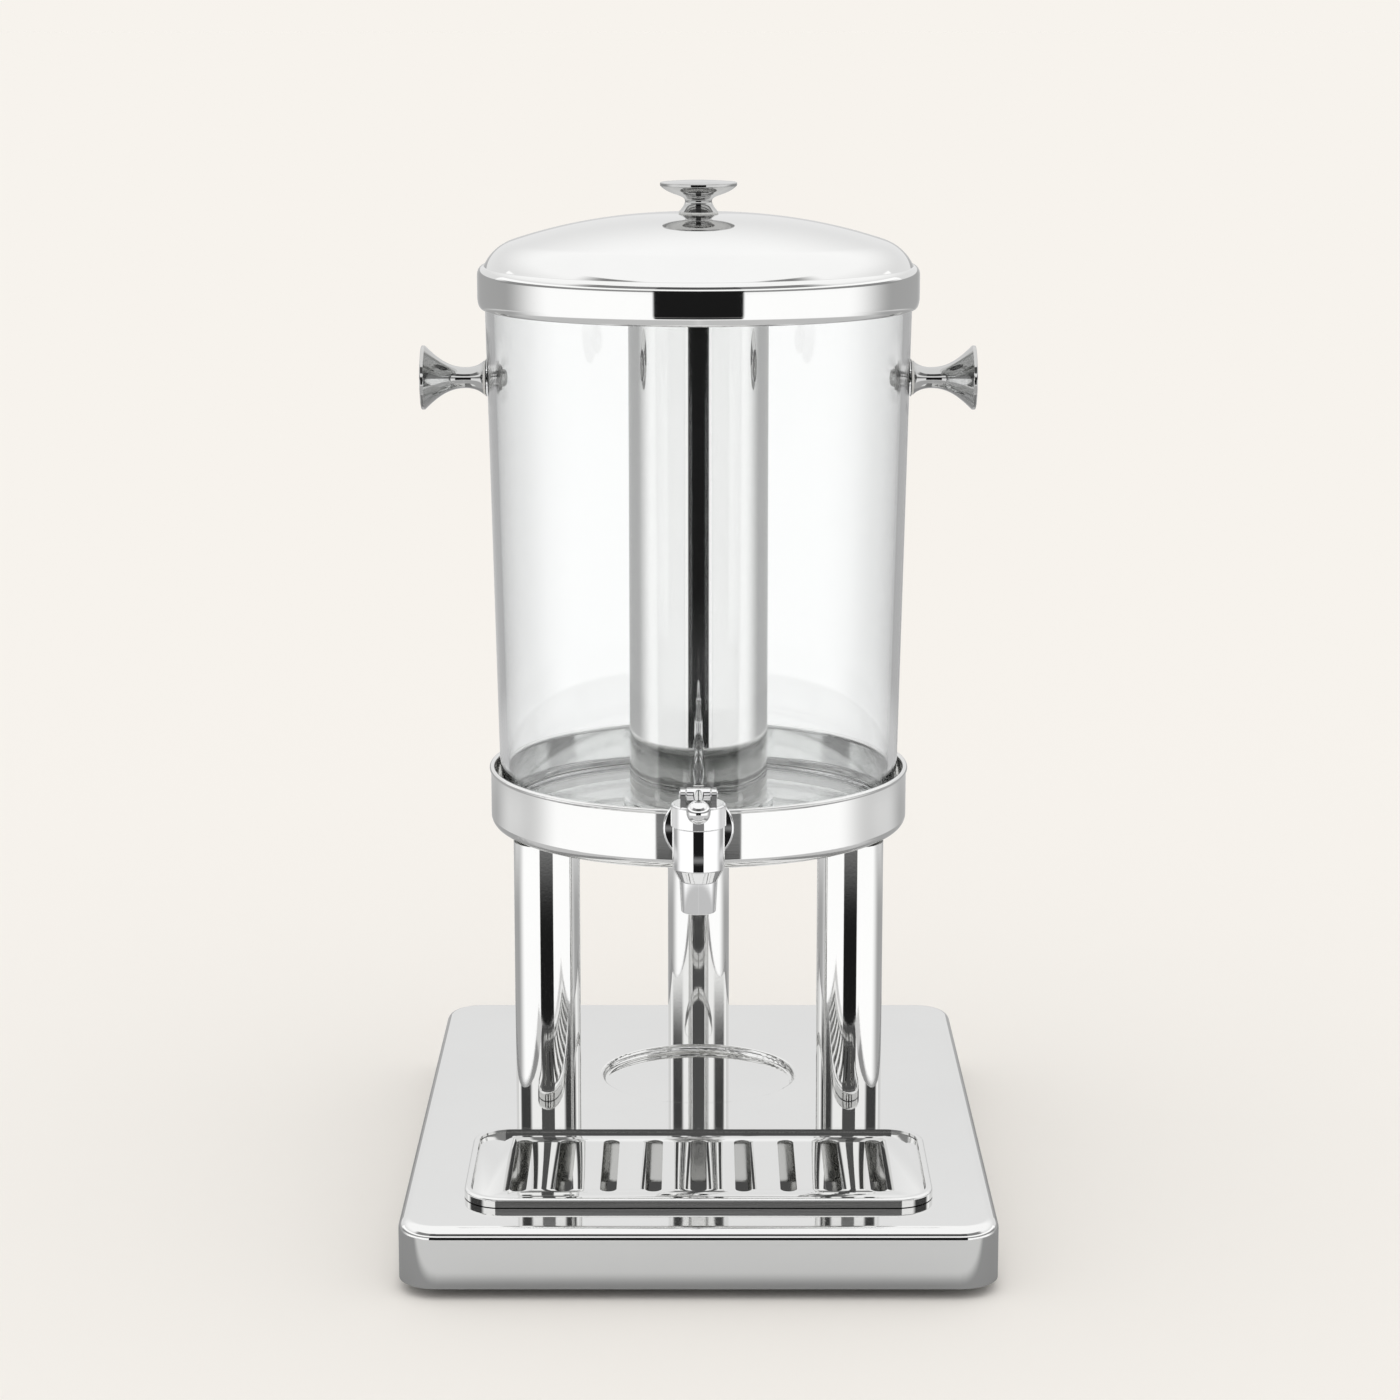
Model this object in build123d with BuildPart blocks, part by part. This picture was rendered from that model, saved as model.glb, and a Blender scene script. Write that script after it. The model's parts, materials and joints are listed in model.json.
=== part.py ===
from build123d import *

import os
from math import cos, radians, sin

# Juice dispenser: a clear tank with a steel ice tube, in a polished cup on three legs over a drip tray.
# Millimetres, +Z up, front towards -Y, origin on the table under the middle of the base.

# Base pan and the plate that closes it
base_width = 270.0
base_depth = 356.0
base_height = 28.0
base_corner_radius = 18.0
base_edge_radius = 5.0
base_sheet = 1.2
base_flange = 8.0
gusset_margin = 18.4
floor_plate_sheet = 1.2
floor_plate_gap = 0.3

# Round well pressed into the base under the tank
axis_to_back = 141.0
well_leg_gap = 5.5
well_depth = 3.6
well_behind_axis = 15.5
well_edge_radius = 1.7

# Rubber feet with their screws and nuts
foot_height = 5.0
foot_radius = 12.0
foot_tip_radius = 10.5
foot_inset = 30.0
foot_recess_gap = 0.8
foot_recess_depth = 3.0
foot_screw_radius = 2.0
foot_screw_head_radius = 4.0
foot_screw_head_height = 2.0
foot_nut_across_flats = 7.0
foot_nut_height = 3.2

# Legs with their plugs and bolts
leg_length = 136.0
leg_radius = 16.0
leg_wall = 1.5
leg_plug_height = 14.0
leg_bolt_radius = 4.0
leg_bolt_reach = 11.0
leg_bolt_head_across_flats = 13.0
leg_bolt_head_height = 5.3
leg_washer_radius = 12.0
leg_washer_height = 1.5
cup_bolt_head_radius = 7.0
cup_bolt_head_room = 1.0

# Cup that holds the tank
cup_height = 29.4
cup_sheet = 1.2
cup_corner_radius = 5.0
cup_gap = 3.9
cup_bead_radius = 1.3
pad_height = 2.0
pad_width = 4.4
pad_bolt_gap = 0.8

# Clear tank
tank_height = 269.6
tank_bottom_radius = 97.4
tank_top_radius = 103.3
tank_wall = 4.0
tank_floor = 3.5
tank_foot_width = 4.2
tank_foot_recess = 1.8
tank_rim_height = 4.0
tank_rim_bead = 1.0
tank_inner_corner = 2.5
tank_ring_height = 4.0
tank_ring_width = 2.0

# Side handles, and the screw that they share with the lid's knob
handle_below_rim = 53.1
handle_length = 31.0
handle_disc_radius = 15.5
handle_neck_radius = 5.2
handle_neck_height = 11.0
handle_root_radius = 8.2
handle_boss_proud = 0.8
handle_boss_rim = 0.8
handle_washer_height = 1.0
handle_washer_radius = 6.0
knob_edge = 1.6
knob_crown = 0.9
knob_screw_radius = 2.5
knob_screw_reach = 9.0
knob_screw_head_radius = 4.5
knob_screw_head_height = 3.0

# Ice tube
ice_tube_radius = 34.0
ice_tube_sheet = 1.0
ice_tube_corner_radius = 2.5
ice_tube_rim_width = 2.0
ice_tube_rim_bend = 1.2
ice_tube_below_rim = 5.0
ice_tube_foot_height = 1.5
ice_tube_foot_width = 10.0
ice_tube_clearance = 1.0

# Lid and its knob
lid_sheet = 1.0
lid_gap = 1.2
lid_skirt = 20.0
lid_step = 3.1
lid_shoulder_width = 12.9
lid_shoulder_rise = 11.7
lid_crown_rise = 12.9
lid_flat_rim = 0.5
lid_corner_radius = 1.6
lid_hem_radius = 1.0
lid_knob_height = 14.9
lid_knob_disc_radius = 18.5
lid_knob_neck_radius = 6.5
lid_knob_neck_height = 5.1
lid_knob_root_radius = 9.5
lid_knob_washer_height = 0.8

# Tap body
tap_standoff = 29.0
tap_shank_radius = 8.0
tap_shank_wall = 3.0
tap_shank_overhang = 2.5
tap_collar_step = 2.0
tap_slot_clearance = 1.5
tap_boss_rim = 1.0
tap_boss_proud = 0.8
tap_inner_boss_proud = 1.2
tap_gasket_height = 1.5
tap_gasket_lip = 1.0
tap_inner_gasket_width = 2.0
tap_nut_wall = 2.0
tap_nut_room = 2.3
tap_nut_height = 6.0
tap_flange_cover = 5.0
tap_flange_height = 2.5
tap_flange_gap = 0.8
tap_neck_wall = 2.5
tap_neck_clearance = 0.5
tap_barrel_wall = 3.0
tap_barrel_floor = 2.0
tap_chamber_gap = 2.0
tap_seat_drop = 10.0
tap_spout_wall = 2.5
tap_spout_bore = 5.5
tap_spout_length = 21.0
tap_spout_cone = 6.0
tap_spout_draft = 0.8
tap_thread_height = 6.0
tap_thread_step = 1.2

# Bonnet, lever and valve of the tap
bonnet_wall = 1.8
bonnet_roof = 4.3
bonnet_corner_radius = 1.2
ear_thickness = 2.4
ear_radius = 3.0
ear_root = 1.5
ear_gap = 0.5
pivot_ahead = 6.5
pivot_above_bonnet = 5.5
lever_pin_radius = 1.5
lever_hub_radius = 3.5
lever_prong_gap = 0.7
lever_prong_thickness = 2.2
lever_slot_wall = 1.15
lever_slot_play = 0.35
lever_slot_travel = 1.2
lever_prong_tail = 1.6
lever_arm_length = 36.0
lever_arm_root_radius = 2.6
lever_arm_tip_radius = 2.0
lever_ball_radius = 5.5
pin_overhang = 0.6
stem_radius = 2.5
stem_above_pin = 3.0
stem_tip_chamfer = 0.6
stem_pin_radius = 1.3
seat_cup_overlap = 1.5
seat_cup_height = 6.0
seat_cup_base = 2.0
seat_cup_chamfer = 1.0
spring_stem_gap = 1.9
spring_wire = 1.6

# Drip tray and its grille
tray_width = 214.0
tray_depth = 102.0
tray_corner_radius = 18.0
tray_front_margin = 27.7
tray_rim_above_grille = 1.5
tray_rim_width = 3.0
tray_rim_round = 1.3
tray_ledge = 4.5
tray_sheet = 1.2
tray_pan_corner = 10.0
tray_floor_gap = 1.7
tray_pan_draft = 3.0
tray_pan_round = 3.0
tray_opening_gap = 1.0
grille_sheet = 1.2
grille_slots = 9
grille_slot_width = 7.5
grille_end_margin = 12.0
grille_side_margin = 5.8

# Clearances shared by the fits
seat_gap = 0.3
running_gap = 0.1
pin_gap = 0.05
bolt_gap = 0.2

# Radii of the tap and its valve, from the shank and the spout's bore outwards
tap_shank_bore = tap_shank_radius - tap_shank_wall
tap_collar_radius = tap_shank_radius + tap_collar_step
tap_slot_radius = tap_collar_radius + tap_slot_clearance
tap_flange_radius = tap_slot_radius + tap_flange_cover
tap_gasket_radius = tap_collar_radius + tap_gasket_lip
tap_boss_radius = tap_gasket_radius + tap_boss_rim
tap_inner_gasket_radius = tap_shank_radius + tap_inner_gasket_width
tap_inner_boss_radius = tap_inner_gasket_radius + tap_boss_rim
tap_nut_across_flats = 2 * (tap_shank_radius + tap_nut_wall)
tap_neck_radius = tap_shank_bore + tap_neck_wall
tap_spout_radius = tap_spout_bore + tap_spout_wall
seat_cup_radius = tap_spout_bore + seat_cup_overlap
tap_chamber_radius = seat_cup_radius + tap_chamber_gap
tap_barrel_radius = tap_chamber_radius + tap_barrel_wall
tap_thread_radius = tap_barrel_radius - tap_thread_step
bonnet_radius = tap_thread_radius + running_gap + bonnet_wall
lever_hub_half = stem_radius + lever_prong_gap + lever_prong_thickness
lever_prong_half_height = stem_pin_radius + lever_slot_play + lever_slot_wall

# Levels, from the table upwards
base_bottom = foot_height
base_top = base_bottom + base_height
plate_top = base_bottom + floor_plate_sheet
flange_top = plate_top + base_sheet
tray_seat = base_top + seat_gap
tray_floor = flange_top + foot_nut_height + tray_floor_gap
tray_ledge_top = tray_seat + tray_sheet
grille_bottom = tray_ledge_top + seat_gap
tray_rim_top = grille_bottom + grille_sheet + tray_rim_above_grille
cup_bottom = base_top + leg_length
cup_floor = cup_bottom + cup_sheet
cup_rim = cup_bottom + cup_height
cup_bolt_head_height = pad_height + tank_foot_recess - cup_bolt_head_room
tank_bottom = cup_floor + pad_height + seat_gap
tank_underside = tank_bottom + tank_foot_recess
tank_inner_floor = tank_underside + tank_floor
tank_top = tank_bottom + tank_height
handle_z = tank_top - handle_below_rim
ice_tube_bottom = tank_inner_floor + seat_gap + ice_tube_foot_height
ice_tube_top = tank_top - ice_tube_below_rim
lid_shoulder = tank_top + seat_gap + lid_sheet
lid_hem = lid_shoulder - lid_skirt + lid_hem_radius
lid_top = lid_shoulder + lid_shoulder_rise + lid_crown_rise
tap_z = tank_inner_floor + tap_nut_across_flats / 2 + tap_nut_room
thread_bottom = tap_z + tap_neck_radius + tap_neck_clearance
barrel_top = thread_bottom + tap_thread_height
seat_z = tap_z - tap_seat_drop
barrel_bottom = seat_z - tap_barrel_floor
spout_tip = barrel_bottom - tap_spout_length
seat_cup_bottom = seat_z + seat_gap
seat_cup_socket = seat_cup_bottom + seat_cup_base
seat_cup_top = seat_cup_bottom + seat_cup_height
bonnet_underside = barrel_top + running_gap
bonnet_top = bonnet_underside + bonnet_roof
pivot_z = bonnet_top + pivot_above_bonnet

# Places in plan, and radii from the tank's axis
tank_axis_y = base_depth / 2 - axis_to_back
tray_y = tray_front_margin + tray_depth / 2 - base_depth / 2
tray_pan_width = tray_width - 2 * (tray_rim_width + tray_ledge)
tray_pan_length = tray_depth - 2 * (tray_rim_width + tray_ledge)
grille_slot_length = tray_pan_length - 2 * (tray_sheet + grille_side_margin)
grille_slot_span = tray_pan_width - 2 * (tray_sheet + grille_end_margin) - grille_slot_width
grille_slot_pitch = grille_slot_span / (grille_slots - 1)
cup_radius = tank_bottom_radius + cup_gap + cup_sheet
pad_radius = cup_radius - cup_corner_radius - seat_gap
leg_circle_radius = pad_radius - pad_width - pad_bolt_gap - cup_bolt_head_radius
well_radius = leg_circle_radius - well_behind_axis - leg_radius - well_leg_gap
base_gusset = 2 * (foot_inset - base_sheet - base_flange) + gusset_margin
lid_radius = tank_top_radius + tank_rim_bead + lid_gap + lid_sheet
lid_step_radius = lid_radius - lid_sheet / 2 - lid_step
tap_y = tank_axis_y - cup_radius - tap_standoff
pivot_y = tap_y - pivot_ahead
foot_places = {
    "front_left": (foot_inset - base_width / 2, foot_inset - base_depth / 2),
    "front_right": (base_width / 2 - foot_inset, foot_inset - base_depth / 2),
    "rear_left": (foot_inset - base_width / 2, base_depth / 2 - foot_inset),
    "rear_right": (base_width / 2 - foot_inset, base_depth / 2 - foot_inset),
}
leg_angles = {"front_left": radians(210), "front_right": radians(330), "rear": radians(90)}
leg_places = {
    name: (leg_circle_radius * cos(angle), tank_axis_y + leg_circle_radius * sin(angle))
    for name, angle in leg_angles.items()
}


def tank_radius_at(height):
    """Outer radius of the tapered tank wall at a height."""
    taper = (tank_top_radius - tank_bottom_radius) / tank_height
    return tank_bottom_radius + taper * (height - tank_bottom)


tap_outer_face = tank_radius_at(tap_z) + tap_boss_proud
tap_inner_face = tank_radius_at(tap_z) - tank_wall - tap_inner_boss_proud
tap_collar_start = tap_outer_face + tap_gasket_height
tap_flange_start = cup_radius + tap_flange_gap
tap_shank_end = tap_inner_face - tap_gasket_height - tap_nut_height - tap_shank_overhang
handle_outer_face = tank_radius_at(handle_z) + handle_boss_proud
handle_inner_face = tank_radius_at(handle_z) - tank_wall - handle_boss_proud

# Axes and section planes
tank_axis = Axis((0, tank_axis_y, 0), (0, 0, 1))
tank_section = Plane(origin=(0, tank_axis_y, 0), x_dir=(1, 0, 0), z_dir=(0, -1, 0))
tap_axis = Axis((0, tap_y, 0), (0, 0, 1))
tap_section = Plane(origin=(0, tap_y, 0), x_dir=(1, 0, 0), z_dir=(0, -1, 0))
lever_axis = Axis((0, pivot_y, pivot_z), (0, -1, 0))
lever_section = Plane(origin=(0, pivot_y, pivot_z), x_dir=(0, -1, 0), z_dir=(0, 0, 1))
stem_cross_plane = Plane(origin=(0, tap_y, pivot_z), x_dir=(0, 1, 0), z_dir=(1, 0, 0))


def facing_front(distance, height):
    """Plane square to the tap's shank, a distance in front of the tank's axis, facing the front."""
    return Plane(origin=(0, tank_axis_y - distance, height), x_dir=(1, 0, 0), z_dir=(0, -1, 0))


def facing_side(side, distance, height):
    """Plane square to a side handle, a distance from the tank's axis, facing outwards."""
    return Plane(origin=(side * distance, tank_axis_y, height), x_dir=(0, 0, 1), z_dir=(side, 0, 0))


def facing_lever_side(side, distance):
    """Plane square to the lever's pin, a distance from the middle, facing outwards."""
    return Plane(origin=(side * distance, pivot_y, pivot_z), x_dir=(0, side, 0), z_dir=(side, 0, 0))


def trumpet_knob(seat, length, disc_radius, neck_radius, neck_height, root_radius):
    """Turned knob on a seat plane: a root, a slim neck and a wide face disc, bored for its screw."""
    disc_foot = length - knob_crown - knob_edge
    section = Plane(origin=seat.origin, x_dir=seat.x_dir, z_dir=seat.x_dir.cross(seat.z_dir))
    with BuildPart() as knob:
        with BuildSketch(section) as profile:
            with BuildLine():
                Line((0, 0), (root_radius, 0))
                Spline(
                    (root_radius, 0),
                    (neck_radius, neck_height),
                    (disc_radius, disc_foot),
                    tangents=((-1, 1), (1, 1)),
                )
                Line((disc_radius, disc_foot), (disc_radius, disc_foot + knob_edge))
                TangentArc((0, length), (disc_radius, disc_foot + knob_edge), tangent=(1, 0))
                Line((0, length), (0, 0))
            make_face()
            fillet(profile.vertices().group_by(Axis.X)[-1], knob_edge / 3)
        revolve(axis=Axis(seat.origin, seat.z_dir))
        with BuildSketch(seat):
            Circle(knob_screw_radius + running_gap)
        extrude(amount=knob_screw_reach + running_gap, mode=Mode.SUBTRACT)
    return knob


os.makedirs("parts", exist_ok=True)

# Base pan, a deep pressed steel tray turned upside down
with BuildPart() as base_pan:
    with BuildSketch(Plane.XY.offset(base_bottom)):
        RectangleRounded(base_width, base_depth, base_corner_radius)
    extrude(amount=base_height)
    fillet(base_pan.faces().sort_by(Axis.Z)[-1].edges(), base_edge_radius)
    with BuildSketch(Plane.XY.offset(base_top)):
        with Locations((0, tank_axis_y + well_behind_axis)):
            Circle(well_radius)
    extrude(amount=-well_depth, mode=Mode.SUBTRACT)
    fillet(base_pan.edges(Select.LAST).filter_by(GeomType.CIRCLE), well_edge_radius)
    offset(amount=-base_sheet, openings=base_pan.faces().sort_by(Axis.Z)[0])
    with BuildSketch(Plane.XY.offset(plate_top)):
        RectangleRounded(
            base_width - base_sheet, base_depth - base_sheet, base_corner_radius - base_sheet / 2
        )
    extrude(amount=base_sheet)
    with BuildSketch(Plane.XY.offset(plate_top)) as flange_opening:
        Rectangle(base_width - 2 * (base_sheet + base_flange), base_depth - 2 * (base_sheet + base_flange))
        chamfer(flange_opening.vertices(), base_gusset)
    extrude(amount=base_sheet, mode=Mode.SUBTRACT)
    with BuildSketch(Plane.XY.offset(base_top)):
        with Locations((0, tray_y)):
            RectangleRounded(
                tray_pan_width + 2 * tray_opening_gap,
                tray_pan_length + 2 * tray_opening_gap,
                tray_pan_corner + tray_opening_gap,
            )
        with Locations(*leg_places.values()):
            Circle(leg_bolt_radius + bolt_gap)
    extrude(amount=-base_sheet, mode=Mode.SUBTRACT)
    with BuildSketch(Plane.XY.offset(plate_top)):
        with Locations(*foot_places.values()):
            Circle(foot_screw_radius + bolt_gap)
    extrude(amount=base_sheet, mode=Mode.SUBTRACT)

# Floor plate that closes the base from below
with BuildPart() as base_floor_plate:
    with BuildSketch(Plane.XY.offset(base_bottom)):
        RectangleRounded(
            base_width - 2 * (base_sheet + floor_plate_gap),
            base_depth - 2 * (base_sheet + floor_plate_gap),
            base_corner_radius - base_sheet - floor_plate_gap,
        )
        with Locations(*foot_places.values()):
            Circle(foot_screw_radius + bolt_gap, mode=Mode.SUBTRACT)
    extrude(amount=floor_plate_sheet)

# Four rubber feet, each with a sunk hole for its screw
rubber_feet = {}
for foot_name, foot_place in foot_places.items():
    with BuildPart() as rubber_foot:
        with BuildSketch(Plane.XY):
            with Locations(foot_place):
                Circle(foot_tip_radius)
        with BuildSketch(Plane.XY.offset(foot_height)):
            with Locations(foot_place):
                Circle(foot_radius)
        loft()
        with BuildSketch(Plane.XY):
            with Locations(foot_place):
                Circle(foot_screw_head_radius + foot_recess_gap)
        extrude(amount=foot_recess_depth, mode=Mode.SUBTRACT)
        with BuildSketch(Plane.XY):
            with Locations(foot_place):
                Circle(foot_screw_radius + bolt_gap)
        extrude(amount=foot_height, mode=Mode.SUBTRACT)
    rubber_feet["rubber_foot_" + foot_name] = rubber_foot

with BuildPart() as foot_screws:
    with BuildSketch(Plane.XY.offset(foot_recess_depth - foot_screw_head_height)):
        with Locations(*foot_places.values()):
            Circle(foot_screw_head_radius)
    extrude(amount=foot_screw_head_height)
    with BuildSketch(Plane.XY.offset(foot_recess_depth)):
        with Locations(*foot_places.values()):
            Circle(foot_screw_radius)
    extrude(amount=flange_top + foot_nut_height - foot_recess_depth)

with BuildPart() as foot_nuts:
    with BuildSketch(Plane.XY.offset(flange_top)):
        with Locations(*foot_places.values()):
            RegularPolygon(foot_nut_across_flats / 2, 6, major_radius=False)
            Circle(foot_screw_radius + bolt_gap, mode=Mode.SUBTRACT)
    extrude(amount=foot_nut_height)

# Three tube legs with a threaded plug in each end
legs = {}
for leg_name, leg_place in leg_places.items():
    with BuildPart() as leg:
        with BuildSketch(Plane.XY.offset(base_top)):
            with Locations(leg_place):
                Circle(leg_radius)
                Circle(leg_radius - leg_wall, mode=Mode.SUBTRACT)
        extrude(amount=leg_length)
    legs["leg_" + leg_name] = leg

with BuildPart() as leg_lower_plugs:
    with BuildSketch(Plane.XY.offset(base_top)):
        with Locations(*leg_places.values()):
            Circle(leg_radius - leg_wall - running_gap)
            Circle(leg_bolt_radius + running_gap, mode=Mode.SUBTRACT)
    extrude(amount=leg_plug_height)

with BuildPart() as leg_upper_plugs:
    with BuildSketch(Plane.XY.offset(cup_bottom)):
        with Locations(*leg_places.values()):
            Circle(leg_radius - leg_wall - running_gap)
            Circle(leg_bolt_radius + running_gap, mode=Mode.SUBTRACT)
    extrude(amount=-leg_plug_height)

with BuildPart() as leg_base_washers:
    with BuildSketch(Plane.XY.offset(base_top - base_sheet)):
        with Locations(*leg_places.values()):
            Circle(leg_washer_radius)
            Circle(leg_bolt_radius + bolt_gap, mode=Mode.SUBTRACT)
    extrude(amount=-leg_washer_height)

with BuildPart() as leg_base_bolts:
    with BuildSketch(Plane.XY.offset(base_top - base_sheet - leg_washer_height)):
        with Locations(*leg_places.values()):
            RegularPolygon(leg_bolt_head_across_flats / 2, 6, major_radius=False)
    extrude(amount=-leg_bolt_head_height)
    with BuildSketch(Plane.XY.offset(base_top - base_sheet - leg_washer_height)):
        with Locations(*leg_places.values()):
            Circle(leg_bolt_radius)
    extrude(amount=base_sheet + leg_washer_height + leg_bolt_reach)

with BuildPart() as leg_cup_bolts:
    with BuildSketch(Plane.XY.offset(cup_floor)):
        with Locations(*leg_places.values()):
            Circle(cup_bolt_head_radius)
    extrude(amount=cup_bolt_head_height)
    fillet(leg_cup_bolts.faces().group_by(Axis.Z)[-1].edges(), cup_bolt_head_height / 2)
    with BuildSketch(Plane.XY.offset(cup_floor)):
        with Locations(*leg_places.values()):
            Circle(leg_bolt_radius)
    extrude(amount=-cup_sheet - leg_bolt_reach)

# Open cup with a rolled rim, bolt holes for the legs and an open slot for the tap's shank
with BuildPart() as cup:
    with BuildSketch(tank_section):
        with BuildLine():
            FilletPolyline(
                (0, cup_bottom + cup_sheet / 2),
                (cup_radius - cup_sheet / 2, cup_bottom + cup_sheet / 2),
                (cup_radius - cup_sheet / 2, cup_rim - cup_bead_radius),
                radius=cup_corner_radius - cup_sheet / 2,
            )
        trace(line_width=cup_sheet)
        with Locations((cup_radius - cup_sheet / 2, cup_rim - cup_bead_radius)):
            Circle(cup_bead_radius)
    revolve(axis=tank_axis)
    with BuildSketch(Plane.XY.offset(cup_bottom)):
        with Locations(*leg_places.values()):
            Circle(leg_bolt_radius + bolt_gap)
    extrude(amount=cup_sheet, mode=Mode.SUBTRACT)
    with BuildSketch(facing_front(cup_radius + cup_bead_radius, tap_z)):
        Circle(tap_slot_radius)
        Rectangle(
            2 * tap_slot_radius,
            cup_rim - tap_z,
            align=(Align.CENTER, Align.MIN),
        )
    extrude(amount=-cup_bead_radius - cup_corner_radius - cup_sheet, mode=Mode.SUBTRACT)

with BuildPart() as cup_pad:
    with BuildSketch(Plane.XY.offset(cup_floor)):
        with Locations((0, tank_axis_y)):
            Circle(pad_radius)
            Circle(pad_radius - pad_width, mode=Mode.SUBTRACT)
    extrude(amount=pad_height)

# Clear moulded tank: tapered wall, foot ring, rim bead, ring for the ice tube, flat bosses at tap and handles
with BuildPart() as tank:
    with BuildSketch(tank_section) as tank_profile:
        with BuildLine():
            Polyline(
                (0, tank_underside),
                (tank_bottom_radius - tank_foot_width, tank_underside),
                (tank_bottom_radius - tank_foot_width, tank_bottom),
                (tank_bottom_radius, tank_bottom),
                (tank_radius_at(tank_top - tank_rim_height), tank_top - tank_rim_height),
                (tank_top_radius + tank_rim_bead, tank_top - tank_rim_height),
                (tank_top_radius + tank_rim_bead, tank_top),
                (tank_top_radius - tank_wall, tank_top),
                (tank_radius_at(tank_inner_floor) - tank_wall, tank_inner_floor),
                (0, tank_inner_floor),
                close=True,
            )
        make_face()
        fillet(
            tank_profile.vertices().group_by(Axis.Y)[-3].sort_by(Axis.X)[-1:],
            tank_inner_corner,
        )
        fillet(tank_profile.vertices().group_by(Axis.Y)[-1], tank_rim_bead)
        with Locations((ice_tube_radius + ice_tube_clearance, tank_inner_floor)):
            Rectangle(tank_ring_width, tank_ring_height, align=(Align.MIN, Align.MIN))
    revolve(axis=tank_axis)
    with BuildSketch(facing_front(tap_outer_face, tap_z)):
        Circle(tap_boss_radius)
    extrude(amount=-tap_boss_proud - tank_wall / 2)
    with BuildSketch(facing_front(tap_inner_face, tap_z)):
        Circle(tap_inner_boss_radius)
    extrude(amount=tap_inner_boss_proud + tank_wall / 2)
    for side in (-1, 1):
        with BuildSketch(facing_side(side, handle_outer_face, handle_z)):
            Circle(handle_root_radius + handle_boss_rim)
        extrude(amount=-handle_boss_proud - tank_wall / 2)
        with BuildSketch(facing_side(side, handle_inner_face, handle_z)):
            Circle(handle_washer_radius + handle_boss_rim)
        extrude(amount=handle_boss_proud + tank_wall / 2)
        with BuildSketch(facing_side(side, handle_inner_face, handle_z)):
            Circle(knob_screw_radius + bolt_gap)
        extrude(amount=handle_outer_face - handle_inner_face, mode=Mode.SUBTRACT)
    with BuildSketch(facing_front(tap_inner_face, tap_z)):
        Circle(tap_shank_radius + bolt_gap)
    extrude(amount=tap_outer_face - tap_inner_face, mode=Mode.SUBTRACT)

# Turned side handles with soft washers and screws from inside the tank
handles = {}
for side_name, side in {"left": -1, "right": 1}.items():
    handle_seat = facing_side(side, handle_outer_face + handle_washer_height, handle_z)
    handles["handle_" + side_name] = trumpet_knob(
        handle_seat,
        handle_length,
        handle_disc_radius,
        handle_neck_radius,
        handle_neck_height,
        handle_root_radius,
    )

with BuildPart() as handle_washers:
    for side in (-1, 1):
        with BuildSketch(facing_side(side, handle_outer_face, handle_z)):
            Circle(handle_root_radius)
            Circle(knob_screw_radius + bolt_gap, mode=Mode.SUBTRACT)
        extrude(amount=handle_washer_height)
        with BuildSketch(facing_side(side, handle_inner_face, handle_z)):
            Circle(handle_washer_radius)
            Circle(knob_screw_radius + bolt_gap, mode=Mode.SUBTRACT)
        extrude(amount=-handle_washer_height)

with BuildPart() as handle_screws:
    for side in (-1, 1):
        with BuildSketch(facing_side(side, handle_inner_face - handle_washer_height, handle_z)):
            Circle(knob_screw_head_radius)
        extrude(amount=-knob_screw_head_height)
        with BuildSketch(facing_side(side, handle_inner_face - handle_washer_height, handle_z)):
            Circle(knob_screw_radius)
        extrude(amount=handle_outer_face - handle_inner_face + 2 * handle_washer_height + knob_screw_reach)

# Ice tube with a closed bottom and a turned-out rim, on a soft foot ring
with BuildPart() as ice_tube:
    with BuildSketch(tank_section):
        with BuildLine():
            FilletPolyline(
                (0, ice_tube_bottom + ice_tube_sheet / 2),
                (ice_tube_radius - ice_tube_sheet / 2, ice_tube_bottom + ice_tube_sheet / 2),
                (ice_tube_radius - ice_tube_sheet / 2, ice_tube_top - ice_tube_sheet / 2),
                (ice_tube_radius + ice_tube_rim_width, ice_tube_top - ice_tube_sheet / 2),
                radius=[ice_tube_corner_radius - ice_tube_sheet / 2, ice_tube_rim_bend],
            )
        trace(line_width=ice_tube_sheet)
    revolve(axis=tank_axis)

with BuildPart() as ice_tube_foot:
    with BuildSketch(Plane.XY.offset(ice_tube_bottom)):
        with Locations((0, tank_axis_y)):
            Circle(ice_tube_radius - ice_tube_corner_radius)
            Circle(ice_tube_radius - ice_tube_corner_radius - ice_tube_foot_width, mode=Mode.SUBTRACT)
    extrude(amount=-ice_tube_foot_height)

# Spun lid: hemmed skirt, narrow step, rounded shoulder and a shallow crown with a flat for the knob
with BuildPart() as lid:
    with BuildSketch(tank_section):
        with BuildLine():
            knob_flat = Line(
                (0, lid_top - lid_sheet / 2),
                (lid_knob_root_radius + lid_flat_rim, lid_top - lid_sheet / 2),
            )
            crown = TangentArc(
                knob_flat @ 1,
                (lid_step_radius - lid_shoulder_width, lid_top - lid_sheet / 2 - lid_crown_rise),
                tangent=knob_flat % 1,
            )
            shoulder = TangentArc(
                crown @ 1,
                (lid_step_radius, lid_shoulder - lid_sheet / 2),
                tangent=crown % 1,
            )
            FilletPolyline(
                shoulder @ 1,
                (lid_radius - lid_sheet / 2, lid_shoulder - lid_sheet / 2),
                (lid_radius - lid_sheet / 2, lid_hem),
                radius=lid_corner_radius,
            )
        trace(line_width=lid_sheet)
        with Locations((lid_radius - lid_sheet / 2, lid_hem)):
            Circle(lid_hem_radius)
    revolve(axis=tank_axis)
    with BuildSketch(Plane.XY.offset(lid_top)):
        with Locations((0, tank_axis_y)):
            Circle(knob_screw_radius + bolt_gap)
    extrude(amount=-lid_sheet, mode=Mode.SUBTRACT)

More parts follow.
